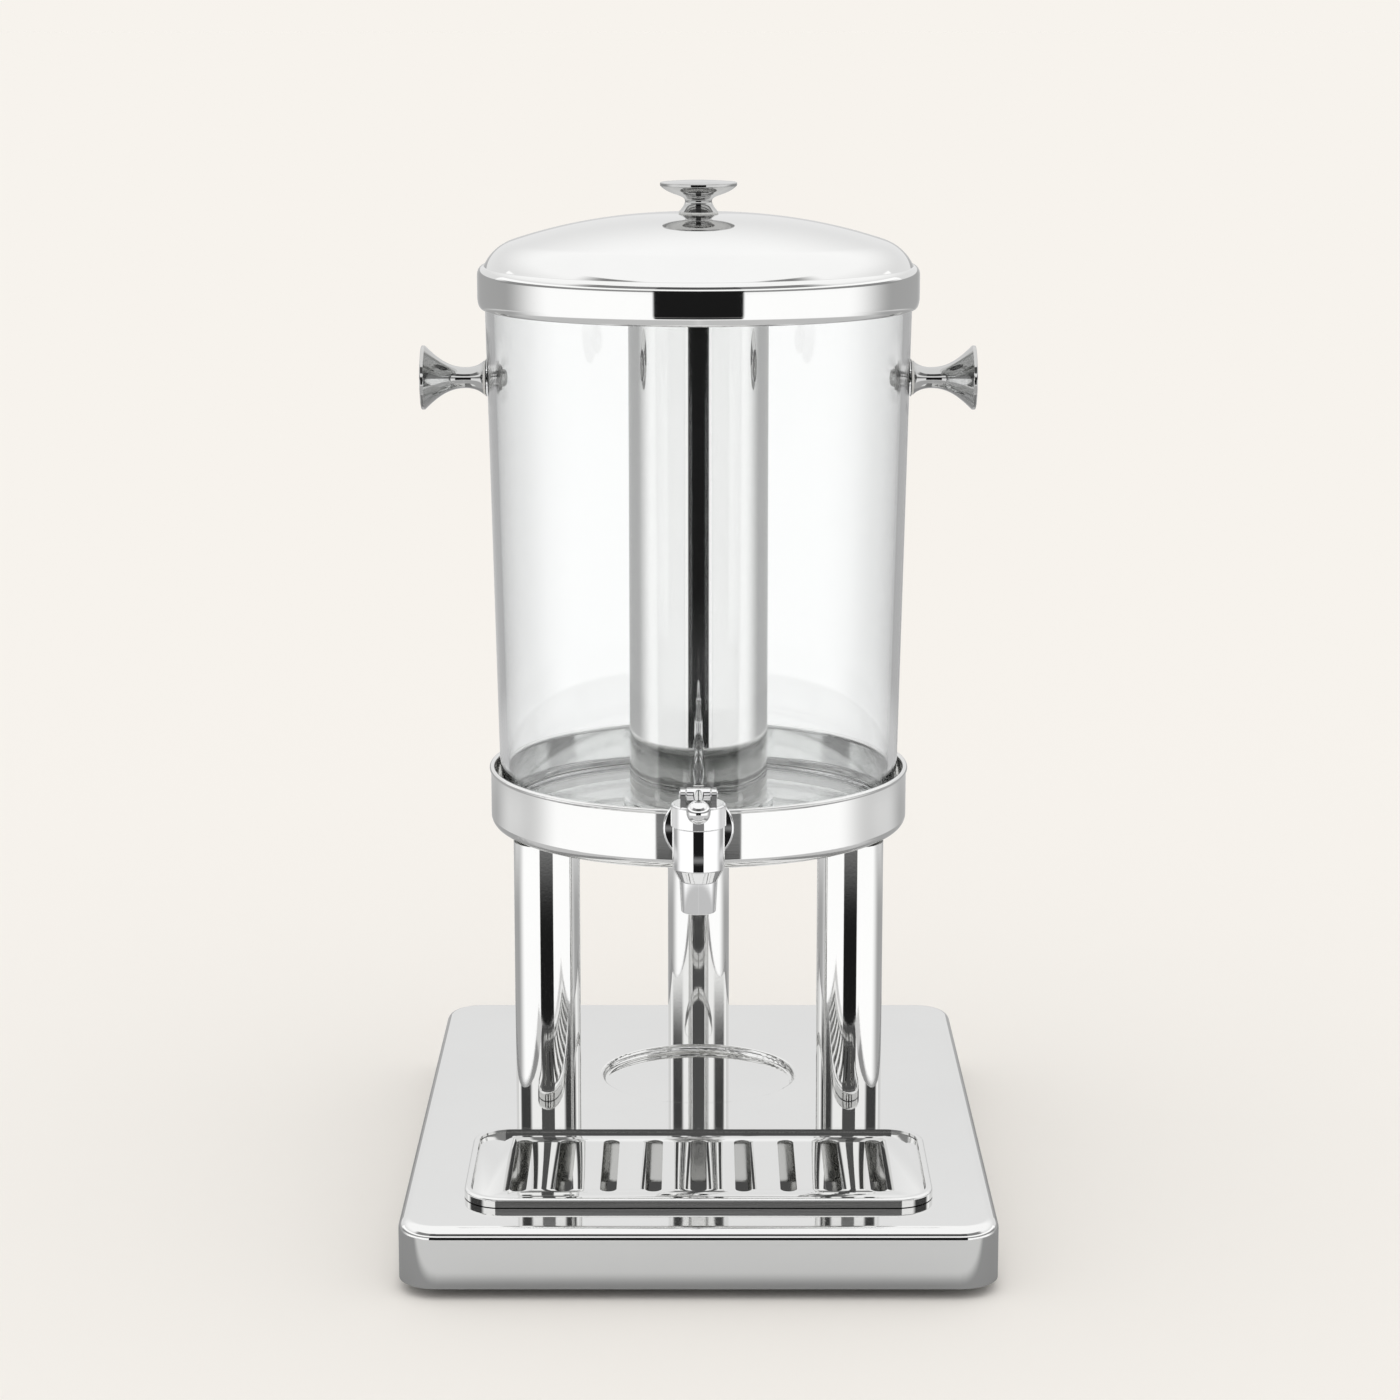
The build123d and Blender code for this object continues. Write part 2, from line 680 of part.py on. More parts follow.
lid_knob_seat = Plane(origin=(0, tank_axis_y, lid_top + lid_knob_washer_height))
lid_knob = trumpet_knob(
    lid_knob_seat,
    lid_knob_height,
    lid_knob_disc_radius,
    lid_knob_neck_radius,
    lid_knob_neck_height,
    lid_knob_root_radius,
)

with BuildPart() as lid_knob_washer:
    with BuildSketch(Plane.XY.offset(lid_top)):
        with Locations((0, tank_axis_y)):
            Circle(lid_knob_root_radius)
            Circle(knob_screw_radius + bolt_gap, mode=Mode.SUBTRACT)
    extrude(amount=lid_knob_washer_height)

with BuildPart() as lid_knob_screw:
    with BuildSketch(Plane.XY.offset(lid_top - lid_sheet)):
        with Locations((0, tank_axis_y)):
            Circle(knob_screw_head_radius)
    extrude(amount=-knob_screw_head_height)
    with BuildSketch(Plane.XY.offset(lid_top - lid_sheet)):
        with Locations((0, tank_axis_y)):
            Circle(knob_screw_radius)
    extrude(amount=lid_sheet + lid_knob_washer_height + knob_screw_reach)

# Tap body: threaded shank, collar in the cup's slot, cover flange, barrel with a valve chamber, spout
with BuildPart() as tap_body:
    with BuildSketch(facing_front(tap_shank_end, tap_z)):
        Circle(tap_shank_radius)
    extrude(amount=tap_collar_start - tap_shank_end)
    with BuildSketch(facing_front(tap_collar_start, tap_z)):
        Circle(tap_collar_radius)
    extrude(amount=tap_flange_start - tap_collar_start)
    with BuildSketch(facing_front(tap_flange_start, tap_z)):
        Circle(tap_flange_radius)
    extrude(amount=tap_flange_height)
    fillet(tap_body.faces().sort_by(Axis.Y)[0].edges(), tap_flange_height / 2)
    with BuildSketch(facing_front(tap_flange_start, tap_z)):
        Circle(tap_neck_radius)
    extrude(amount=tank_axis_y - tap_flange_start - tap_y)
    with BuildSketch(tap_section):
        with BuildLine():
            Polyline(
                (0, spout_tip),
                (tap_spout_radius, spout_tip),
                (tap_spout_radius + tap_spout_draft, barrel_bottom - tap_spout_cone),
                (tap_barrel_radius, barrel_bottom),
                (tap_barrel_radius, thread_bottom),
                (tap_thread_radius, thread_bottom),
                (tap_thread_radius, barrel_top),
                (0, barrel_top),
                close=True,
            )
        make_face()
    revolve(axis=tap_axis)
    with BuildSketch(tap_section):
        with BuildLine():
            Polyline(
                (0, spout_tip),
                (tap_spout_bore, spout_tip),
                (tap_spout_bore, seat_z),
                (tap_chamber_radius, seat_z),
                (tap_chamber_radius, barrel_top),
                (0, barrel_top),
                close=True,
            )
        make_face()
    revolve(axis=tap_axis, mode=Mode.SUBTRACT)
    with BuildSketch(facing_front(tap_shank_end, tap_z)):
        Circle(tap_shank_bore)
    extrude(amount=tank_axis_y - tap_shank_end - tap_y, mode=Mode.SUBTRACT)

with BuildPart() as tap_outer_gasket:
    with BuildSketch(facing_front(tap_outer_face, tap_z)):
        Circle(tap_gasket_radius)
        Circle(tap_shank_radius + bolt_gap, mode=Mode.SUBTRACT)
    extrude(amount=tap_gasket_height)

with BuildPart() as tap_inner_gasket:
    with BuildSketch(facing_front(tap_inner_face, tap_z)):
        Circle(tap_inner_gasket_radius)
        Circle(tap_shank_radius + bolt_gap, mode=Mode.SUBTRACT)
    extrude(amount=-tap_gasket_height)

with BuildPart() as tap_lock_nut:
    with BuildSketch(facing_front(tap_inner_face - tap_gasket_height, tap_z)):
        RegularPolygon(tap_nut_across_flats / 2, 6, major_radius=False)
        Circle(tap_shank_radius + running_gap, mode=Mode.SUBTRACT)
    extrude(amount=-tap_nut_height)

# Bonnet screwed on the barrel, with two ears that carry the lever's pin
with BuildPart() as tap_bonnet:
    with BuildSketch(tap_section):
        with BuildLine():
            Polyline(
                (stem_radius + running_gap, bonnet_underside),
                (tap_thread_radius + running_gap, bonnet_underside),
                (tap_thread_radius + running_gap, thread_bottom),
                (bonnet_radius, thread_bottom),
                (bonnet_radius, bonnet_top),
                (stem_radius + running_gap, bonnet_top),
                close=True,
            )
        make_face()
    revolve(axis=tap_axis)
    fillet(tap_bonnet.faces().sort_by(Axis.Z)[-1].edges().sort_by(SortBy.RADIUS)[-1], bonnet_corner_radius)
    for side in (-1, 1):
        with BuildSketch(facing_lever_side(side, lever_hub_half + ear_gap)):
            Circle(ear_radius)
            Rectangle(2 * ear_radius, pivot_above_bonnet + ear_root, align=(Align.CENTER, Align.MAX))
            Circle(lever_pin_radius + pin_gap, mode=Mode.SUBTRACT)
        extrude(amount=ear_thickness)

with BuildPart() as tap_lever_pin:
    with BuildSketch(facing_lever_side(1, 0)):
        Circle(lever_pin_radius)
    extrude(amount=lever_hub_half + ear_gap + ear_thickness + pin_overhang, both=True)
    fillet(tap_lever_pin.edges().filter_by(GeomType.CIRCLE), pin_overhang / 2)

# Lever: hub on the pin, ball-ended arm to the front, two slotted prongs astride the stem behind
with BuildPart() as tap_lever:
    with BuildSketch(facing_lever_side(1, 0)):
        Circle(lever_hub_radius)
    extrude(amount=lever_hub_half, both=True)
    for side in (-1, 1):
        with BuildSketch(facing_lever_side(side, lever_hub_half - lever_prong_thickness)):
            with Locations((side * (pivot_ahead + lever_prong_tail) / 2, 0)):
                Rectangle(pivot_ahead + lever_prong_tail, 2 * lever_prong_half_height)
            with Locations((side * (pivot_ahead + lever_prong_tail), 0)):
                Circle(lever_prong_half_height)
            with Locations((side * pivot_ahead, 0)):
                SlotCenterToCenter(
                    2 * lever_slot_travel, 2 * (stem_pin_radius + lever_slot_play), mode=Mode.SUBTRACT
                )
        extrude(amount=lever_prong_thickness)
    with BuildSketch(lever_section):
        with BuildLine():
            Polyline(
                (0, 0),
                (0, lever_arm_root_radius),
                (lever_arm_length, lever_arm_tip_radius),
                (lever_arm_length, 0),
                close=True,
            )
        make_face()
    revolve(axis=lever_axis)
    with BuildSketch(lever_section):
        with Locations((lever_arm_length, 0)):
            Circle(lever_ball_radius)
        Rectangle(
            2 * (lever_arm_length + lever_ball_radius),
            lever_ball_radius,
            align=(Align.CENTER, Align.MAX),
            mode=Mode.SUBTRACT,
        )
    revolve(axis=lever_axis)
    with BuildSketch(facing_lever_side(1, 0)):
        Circle(lever_pin_radius + pin_gap)
    extrude(amount=lever_hub_half, both=True, mode=Mode.SUBTRACT)

# Valve: stem with its cross pin, soft seat cup on the spout's bore, return spring under the bonnet
with BuildPart() as tap_stem:
    with BuildSketch(Plane(origin=(0, tap_y, seat_cup_socket + running_gap))):
        Circle(stem_radius)
    extrude(amount=pivot_z + stem_above_pin - seat_cup_socket - running_gap)
    chamfer(tap_stem.faces().sort_by(Axis.Z)[-1].edges(), stem_tip_chamfer)
    with BuildSketch(stem_cross_plane):
        Circle(stem_pin_radius + pin_gap)
    extrude(amount=stem_radius, both=True, mode=Mode.SUBTRACT)

with BuildPart() as tap_stem_pin:
    with BuildSketch(stem_cross_plane):
        Circle(stem_pin_radius)
    extrude(amount=lever_hub_half + pin_overhang, both=True)

with BuildPart() as tap_seat_cup:
    with BuildSketch(Plane(origin=(0, tap_y, seat_cup_bottom))):
        Circle(seat_cup_radius)
    extrude(amount=seat_cup_height)
    chamfer(tap_seat_cup.faces().sort_by(Axis.Z)[0].edges(), seat_cup_chamfer)
    with BuildSketch(Plane(origin=(0, tap_y, seat_cup_socket))):
        Circle(stem_radius + running_gap)
    extrude(amount=seat_cup_height - seat_cup_base, mode=Mode.SUBTRACT)

with BuildPart() as tap_spring:
    with BuildSketch(Plane(origin=(0, tap_y, seat_cup_top + running_gap))):
        Circle(stem_radius + spring_stem_gap + spring_wire)
        Circle(stem_radius + spring_stem_gap, mode=Mode.SUBTRACT)
    extrude(amount=bonnet_underside - seat_cup_top - 2 * running_gap)

# Drip tray: raised rim, ledge for the grille, drafted pan that hangs in the base's opening
with BuildPart() as drip_tray:
    with BuildSketch(Plane.XY.offset(tray_seat)):
        with Locations((0, tray_y)):
            RectangleRounded(tray_width, tray_depth, tray_corner_radius)
    extrude(amount=tray_rim_top - tray_seat)
    fillet(drip_tray.faces().sort_by(Axis.Z)[-1].edges(), tray_rim_round)
    with BuildSketch(Plane.XY.offset(tray_seat)):
        with Locations((0, tray_y)):
            RectangleRounded(tray_pan_width, tray_pan_length, tray_pan_corner)
    extrude(amount=tray_floor - tray_seat, taper=tray_pan_draft)
    fillet(drip_tray.faces().sort_by(Axis.Z)[0].edges(), tray_pan_round)
    with BuildSketch(Plane.XY.offset(tray_rim_top)):
        with Locations((0, tray_y)):
            RectangleRounded(
                tray_width - 2 * tray_rim_width,
                tray_depth - 2 * tray_rim_width,
                tray_corner_radius - tray_rim_width,
            )
    extrude(amount=tray_ledge_top - tray_rim_top, mode=Mode.SUBTRACT)
    with BuildSketch(Plane.XY.offset(tray_ledge_top)):
        with Locations((0, tray_y)):
            RectangleRounded(
                tray_pan_width - 2 * tray_sheet,
                tray_pan_length - 2 * tray_sheet,
                tray_pan_corner - tray_sheet,
            )
    extrude(amount=tray_floor + tray_sheet - tray_ledge_top, taper=tray_pan_draft, mode=Mode.SUBTRACT)

with BuildPart() as drip_grille:
    with BuildSketch(Plane.XY.offset(grille_bottom)):
        with Locations((0, tray_y)):
            RectangleRounded(
                tray_width - 2 * (tray_rim_width + seat_gap),
                tray_depth - 2 * (tray_rim_width + seat_gap),
                tray_corner_radius - tray_rim_width - seat_gap,
            )
            with GridLocations(grille_slot_pitch, 0, grille_slots, 1):
                SlotOverall(grille_slot_length, grille_slot_width, rotation=90, mode=Mode.SUBTRACT)
    extrude(amount=grille_sheet)

pieces = {
    "base_pan": base_pan,
    "base_floor_plate": base_floor_plate,
    **rubber_feet,
    "foot_screws": foot_screws,
    "foot_nuts": foot_nuts,
    **legs,
    "leg_lower_plugs": leg_lower_plugs,
    "leg_upper_plugs": leg_upper_plugs,
    "leg_base_washers": leg_base_washers,
    "leg_base_bolts": leg_base_bolts,
    "leg_cup_bolts": leg_cup_bolts,
    "cup": cup,
    "cup_pad": cup_pad,
    "tank": tank,
    **handles,
    "handle_washers": handle_washers,
    "handle_screws": handle_screws,
    "ice_tube": ice_tube,
    "ice_tube_foot": ice_tube_foot,
    "lid": lid,
    "lid_knob": lid_knob,
    "lid_knob_washer": lid_knob_washer,
    "lid_knob_screw": lid_knob_screw,
    "tap_body": tap_body,
    "tap_outer_gasket": tap_outer_gasket,
    "tap_inner_gasket": tap_inner_gasket,
    "tap_lock_nut": tap_lock_nut,
    "tap_bonnet": tap_bonnet,
    "tap_lever_pin": tap_lever_pin,
    "tap_lever": tap_lever,
    "tap_stem": tap_stem,
    "tap_stem_pin": tap_stem_pin,
    "tap_seat_cup": tap_seat_cup,
    "tap_spring": tap_spring,
    "drip_tray": drip_tray,
    "drip_grille": drip_grille,
}
for piece_name, piece in pieces.items():
    piece.part.label = piece_name
    export_step(piece.part, f"parts/{piece_name}.step")
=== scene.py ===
"""Finishes, fine pieces and studio for a juice dispenser with a clear tank, an ice tube and a lever tap."""

import json
import logging
import math
from dataclasses import dataclass
from enum import Enum
from functools import cache
from typing import Any, Mapping, Sequence

import bpy
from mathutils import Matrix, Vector


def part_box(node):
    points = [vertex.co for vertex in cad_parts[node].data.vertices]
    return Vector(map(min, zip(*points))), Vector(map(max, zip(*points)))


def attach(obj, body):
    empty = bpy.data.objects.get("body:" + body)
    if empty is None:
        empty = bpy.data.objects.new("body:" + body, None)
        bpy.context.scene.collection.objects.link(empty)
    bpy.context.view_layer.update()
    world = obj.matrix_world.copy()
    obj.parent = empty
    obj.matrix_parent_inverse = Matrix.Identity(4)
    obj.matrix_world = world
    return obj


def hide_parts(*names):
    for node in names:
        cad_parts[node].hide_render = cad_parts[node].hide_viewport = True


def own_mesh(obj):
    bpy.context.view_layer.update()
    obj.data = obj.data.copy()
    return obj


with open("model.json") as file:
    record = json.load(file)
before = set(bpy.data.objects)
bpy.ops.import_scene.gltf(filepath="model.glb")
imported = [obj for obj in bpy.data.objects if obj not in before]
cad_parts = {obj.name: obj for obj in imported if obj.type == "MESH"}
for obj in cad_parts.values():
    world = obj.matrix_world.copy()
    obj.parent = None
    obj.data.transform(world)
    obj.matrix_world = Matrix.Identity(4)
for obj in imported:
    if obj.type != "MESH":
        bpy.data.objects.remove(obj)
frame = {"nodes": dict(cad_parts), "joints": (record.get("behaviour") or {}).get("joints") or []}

LOG = logging.getLogger("juice_dispenser")
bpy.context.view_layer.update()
MM = 0.001
MERGE = 1e-7
UP = Vector((0.0, 0.0, 1.0))
FORWARD = Vector((0.0, -1.0, 0.0))

Colour = tuple[float, float, float]
Point = tuple[float, float]
Corner = tuple[float, float, float]


@dataclass(frozen=True)
class Pattern:
    """A noise pattern.

    Attributes:
        scale: Waves per metre.
        detail: Number of finer layers.
        roughness: Weight of the finer layers.
    """

    scale: float
    detail: float
    roughness: float = 0.5


class Term:
    """A value in a shader, on which arithmetic adds Math nodes."""

    def __init__(self, graph: "ShaderGraph", socket: bpy.types.NodeSocket) -> None:
        """Wrap one output socket.

        Args:
            graph: The graph that the socket belongs to.
            socket: The output socket.
        """
        self.graph = graph
        self.socket = socket

    def _math(self, operation: str, first: "Term | float", second: "Term | float") -> "Term":
        """Add a Math node."""
        return self.graph.add("ShaderNodeMath", {"operation": operation}, {0: first, 1: second})

    def __add__(self, other: "Term | float") -> "Term":
        """Sum."""
        return self._math("ADD", self, other)

    __radd__ = __add__

    def __sub__(self, other: "Term | float") -> "Term":
        """Difference."""
        return self._math("SUBTRACT", self, other)

    def __rsub__(self, other: "Term | float") -> "Term":
        """Difference from a number."""
        return self._math("SUBTRACT", other, self)

    def __mul__(self, other: "Term | float") -> "Term":
        """Product."""
        return self._math("MULTIPLY", self, other)

    __rmul__ = __mul__

    def __pow__(self, other: "Term | float") -> "Term":
        """Power."""
        return self._math("POWER", self, other)

    def __gt__(self, other: "Term | float") -> "Term":
        """1 where this is greater, otherwise 0."""
        return self._math("GREATER_THAN", self, other)


class ShaderGraph:
    """The node tree of one material or world."""

    def __init__(self, owner: bpy.types.Material | bpy.types.World) -> None:
        """Empty the owner's tree.

        Args:
            owner: The material or world to fill.
        """
        owner.use_nodes = True
        self.tree = owner.node_tree
        self.tree.nodes.clear()

    def add(
        self,
        kind: str,
        settings: Mapping[str, Any] | None = None,
        sockets: Mapping[str | int, Any] | None = None,
        output: str | int = 0,
    ) -> Term | None:
        """Add any node.

        Args:
            kind: The node's type.
            settings: Its settings, set first; "stops" holds a ramp's places and colours.
            sockets: Values or links of its input sockets.
            output: The output socket to return.

        Returns:
            The chosen output, or None on a node without outputs.
        """
        node = self.tree.nodes.new(kind)
        for name, value in (settings or {}).items():
            if name == "stops":
                for index, (place, colour) in enumerate(value):
                    stops = node.color_ramp.elements
                    stop = stops[index] if index < 2 else stops.new(place)
                    stop.position = place
                    stop.color = (*colour, 1.0)
            else:
                setattr(node, name, value)
        for key, value in (sockets or {}).items():
            if isinstance(value, Term):
                self.tree.links.new(value.socket, node.inputs[key])
            else:
                node.inputs[key].default_value = value
        return Term(self, node.outputs[output]) if node.outputs else None

    def place(self) -> tuple[Term, Term, Term, Term]:
        """Object coordinates.

        Returns:
            The point itself, and its X, Y and Z.
        """
        point = self.add("ShaderNodeTexCoord", output="Object")
        return point, *self.split(point)

    def split(self, vector: Term) -> tuple[Term, ...]:
        """X, Y and Z of a vector."""
        node = self.add("ShaderNodeSeparateXYZ", None, {0: vector}).socket.node
        return tuple(Term(self, node.outputs[axis]) for axis in "XYZ")

    def noise(self, vector: Term, pattern: Pattern) -> Term:
        """A noise pattern's value at a point, 0 to 1."""
        sockets = {"Scale": pattern.scale, "Detail": pattern.detail, "Roughness": pattern.roughness}
        return self.add("ShaderNodeTexNoise", None, {"Vector": vector, **sockets})

    def blend(self, share: Term, first: Colour, second: Colour) -> Term:
        """Mix two colours by a share.

        Args:
            share: 0 for the first, 1 for the second.
            first: First colour.
            second: Second colour.

        Returns:
            The mixed colour.
        """
        return self.add("ShaderNodeValToRGB", {"stops": [(0.0, first), (1.0, second)]}, {"Fac": share})

    def rise(self, value: Term, start: float, end: float) -> Term:
        """A smooth step from 0 at the start to 1 at the end."""
        settings = {"interpolation_type": "SMOOTHSTEP"}
        return self.add("ShaderNodeMapRange", settings, {"Value": value, "From Min": start, "From Max": end})

    def within(self, value: Term, low: float, high: float, soft: float) -> Term:
        """1 between two limits and 0 outside, with soft edges."""
        rising = self.rise(value, low - soft / 2, low + soft / 2)
        return rising * (1.0 - self.rise(value, high - soft / 2, high + soft / 2))

    def bump(self, height: Term, strength: float, distance: float) -> Term:
        """A normal from a height.

        Args:
            height: The height pattern, 0 to 1.
            strength: Share of the effect.
            distance: Height of the pattern in metres.

        Returns:
            The normal.
        """
        return self.add("ShaderNodeBump", None, {"Strength": strength, "Distance": distance, "Height": height})

    def surface(self, shader: Term, kind: str = "ShaderNodeOutputMaterial") -> None:
        """Link the finished shader to the output."""
        self.add(kind, None, {"Surface": shader})


class Lay(Enum):
    """The way that fine polishing marks run over a steel piece."""

    RINGS_UPRIGHT = "rings about an upright axis"
    RINGS_SIDEWAYS = "rings about a sideways axis"
    STRAIGHT = "straight, from left to right"


@dataclass(frozen=True)
class Coating:
    """What every finish has.

    Attributes:
        name: The material's name.
        slot: The record's slot that it belongs to; not used.
    """

    name: str
    slot: str

    def sockets(self, graph: ShaderGraph) -> dict[str, Any]:
        """Inputs of the finish's shader.

        Args:
            graph: The material's graph.

        Returns:
            A value or a term for each socket.
        """
        raise NotImplementedError

    def material(self) -> bpy.types.Material:
        """Build the finish's material and return it."""
        material = bpy.data.materials.new(self.name)
        graph = ShaderGraph(material)
        graph.surface(graph.add("ShaderNodeBsdfPrincipled", None, self.sockets(graph)))
        return material


@dataclass(frozen=True)
class PolishedSteel(Coating):
    """Bright metal with fine polishing marks and a faint haze.

    Attributes:
        bright: Colour of the clean metal.
        dull: Colour where it is hazed.
        polish: Roughness of the clean metal.
        haze: Roughness added where it is hazed.
        marks: Strength of the polishing marks.
        lay: The way that the marks run.
        mark_pattern: Noise of the marks.
        mark_stretch: How fast the marks change from left to right, as a share of the noise's scale.
        mark_depth: Depth of the marks in metres.
        haze_pattern: Noise of the haze.
    """

    bright: Colour = (0.83, 0.83, 0.82)
    dull: Colour = (0.78, 0.78, 0.775)
    polish: float = 0.035
    haze: float = 0.06
    marks: float = 0.012
    lay: Lay = Lay.STRAIGHT
    mark_pattern: Pattern = Pattern(900.0, 4.0, 0.6)
    mark_stretch: float = 0.02
    mark_depth: float = 0.2 * MM
    haze_pattern: Pattern = Pattern(14.0, 4.0, 0.55)

    def grain(self, graph: ShaderGraph) -> Term:
        """Height of the polishing marks, 0 to 1."""
        _, x, y, z = graph.place()
        tank, handle = (SubAssembly.centre(node) for node in ("tank", "handle_left"))
        along, across = {
            Lay.RINGS_UPRIGHT: (z, (x * x + (y - tank.y) ** 2.0) ** 0.5),
            Lay.RINGS_SIDEWAYS: (x, ((y - handle.y) ** 2.0 + (z - handle.z) ** 2.0) ** 0.5),
            Lay.STRAIGHT: (y, z),
        }[self.lay]
        sockets = {"X": along, "Y": across, "Z": x * self.mark_stretch}
        return graph.noise(graph.add("ShaderNodeCombineXYZ", None, sockets), self.mark_pattern)

    def sockets(self, graph: ShaderGraph) -> dict[str, Any]:
        """Inputs of the metal's shader."""
        point, *_ = graph.place()
        haze = graph.noise(point, self.haze_pattern)
        grain = self.grain(graph)
        return {
            "Base Color": graph.blend(haze, self.bright, self.dull),
            "Metallic": 1.0,
            "Roughness": self.polish + self.haze * haze * haze * grain,
            "Normal": graph.bump(grain, self.marks, self.mark_depth),
        }


@dataclass(frozen=True)
class ClearPlastic(Coating):
    """Clear moulded plastic with faint flow waves and scuffs.

    Attributes:
        tint: Colour of the light that passes.
        tint_thick: The same where the wall is a little thicker.
        ior: Index of refraction.
        gloss: Roughness of the clean plastic.
        scuffed: Roughness added where it is scuffed.
        scuff_pattern: Noise of the scuffs.
        wave_pattern: Noise of the flow waves.
        wave_strength: Strength of the waves.
        wave_height: Height of the waves in metres.
    """

    tint: Colour = (0.985, 0.99, 0.99)
    tint_thick: Colour = (0.97515, 0.9801, 0.9801)
    ior: float = 1.58
    gloss: float = 0.004
    scuffed: float = 0.012
    scuff_pattern: Pattern = Pattern(60.0, 5.0, 0.65)
    wave_pattern: Pattern = Pattern(9.0, 2.0)
    wave_strength: float = 0.02
    wave_height: float = 1.0 * MM

    def sockets(self, graph: ShaderGraph) -> dict[str, Any]:
        """Inputs of the plastic's shader."""
        point, *_ = graph.place()
        waves = graph.noise(point, self.wave_pattern)
        scuffs = graph.noise(point, self.scuff_pattern)
        return {
            "Base Color": graph.blend(waves, self.tint, self.tint_thick),
            "Roughness": self.gloss + self.scuffed * scuffs * scuffs,
            "IOR": self.ior,
            "Transmission Weight": 1.0,
            "Normal": graph.bump(waves, self.wave_strength, self.wave_height),
        }


@dataclass(frozen=True)
class SoftMould(Coating):
    """Soft moulded rubber or silicone with a fine matt skin.

    Attributes:
        colour: Main colour.
        worn: Colour where it is rubbed.
        rough: Lowest roughness.
        rougher: Roughness added by the skin.
        rub_pattern: Noise of the rubbed places.
        skin_pattern: Noise of the matt skin.
        skin_strength: Strength of the skin.
        skin_height: Height of the skin in metres.
    """

    colour: Colour
    worn: Colour
    rough: float
    rougher: float = 0.2
    rub_pattern: Pattern = Pattern(70.0, 4.0)
    skin_pattern: Pattern = Pattern(1400.0, 2.0)
    skin_strength: float = 0.25
    skin_height: float = 0.05 * MM

    def sockets(self, graph: ShaderGraph) -> dict[str, Any]:
        """Inputs of the soft piece's shader."""
        point, *_ = graph.place()
        rubbed = graph.noise(point, self.rub_pattern)
        skin = graph.noise(point, self.skin_pattern)
        return {
            "Base Color": graph.blend(rubbed, self.colour, self.worn),
            "Roughness": self.rough + self.rougher * skin,
            "Normal": graph.bump(skin, self.skin_strength, self.skin_height),
        }


# The clean and the hazed colour of turned steel
TURNED: tuple[Colour, Colour] = ((0.57, 0.57, 0.565), (0.5, 0.5, 0.495))


class Finish(Enum):
    """The dispenser's finishes."""

    SHEET_STEEL = PolishedSteel("sheet_steel", "polished_steel")
    SPUN_STEEL = PolishedSteel("spun_steel", "polished_steel", lay=Lay.RINGS_UPRIGHT)
    HANDLE_STEEL = PolishedSteel("turned_handle_steel", "polished_steel", *TURNED, lay=Lay.RINGS_SIDEWAYS)
    KNOB_STEEL = PolishedSteel("turned_knob_steel", "polished_steel", *TURNED, lay=Lay.RINGS_UPRIGHT)
    PLAIN_STEEL = PolishedSteel(
        "bright_steel", "plain_steel", (0.62, 0.62, 0.61), (0.5, 0.5, 0.49), 0.18, 0.2, 0.05
    )
    CHROME = PolishedSteel("bright_chrome", "chrome_brass", (0.86, 0.86, 0.865), (0.8, 0.8, 0.8), 0.03, 0.05, 0.01)
    CLEAR_PLASTIC = ClearPlastic("clear_moulding", "clear_plastic")
    SILICONE = SoftMould("milky_silicone", "silicone", (0.84, 0.84, 0.82), (0.76, 0.76, 0.74), 0.42)
    BLACK_RUBBER = SoftMould("matt_rubber", "black_rubber", (0.028, 0.028, 0.028), (0.05, 0.05, 0.048), 0.6)

    @cache
    def material(self) -> bpy.types.Material:
        """The finish's material, made at its first use."""
        return self.value.material()


def rounded(corners: Sequence[Corner], steps: int = 6) -> list[Point]:
    """Points of an outline whose corners are rounded.

    Args:
        corners: Radius, height and rounding of each corner, in metres.
        steps: Number of steps in one rounding.

    Returns:
        Radius and height of each point.
    """
    points: list[Point] = []
    for index, (radius, height, rounding) in enumerate(corners):
        corner = Vector((radius, height))
        if not rounding:
            points.append((radius, height))
            continue
        before = (Vector(corners[index - 1][:2]) - corner).normalized()
        after = (Vector(corners[(index + 1) % len(corners)][:2]) - corner).normalized()
        half = before.angle(after) / 2
        centre = corner + (before + after).normalized() * (rounding / math.sin(half))
        first = corner + before * (rounding / math.tan(half)) - centre
        last = corner + after * (rounding / math.tan(half)) - centre
        points += [tuple(centre + rounding * first.slerp(last, step / steps)) for step in range(steps + 1)]
    return points


def arc(centre: Point, reach: Point, start: float, end: float, steps: int) -> list[Point]:
    """Points of an arc of a circle or an ellipse.

    Args:
        centre: Radius and height of its middle, in metres.
        reach: Its half-width and half-height.
        start: Where it starts, in degrees up from level.
        end: Where it ends.
        steps: Number of steps.

    Returns:
        Radius and height of each point.
    """
    angles = [math.radians(start + (end - start) * step / steps) for step in range(steps + 1)]
    return [(centre[0] + reach[0] * math.cos(angle), centre[1] + reach[1] * math.sin(angle)) for angle in angles]


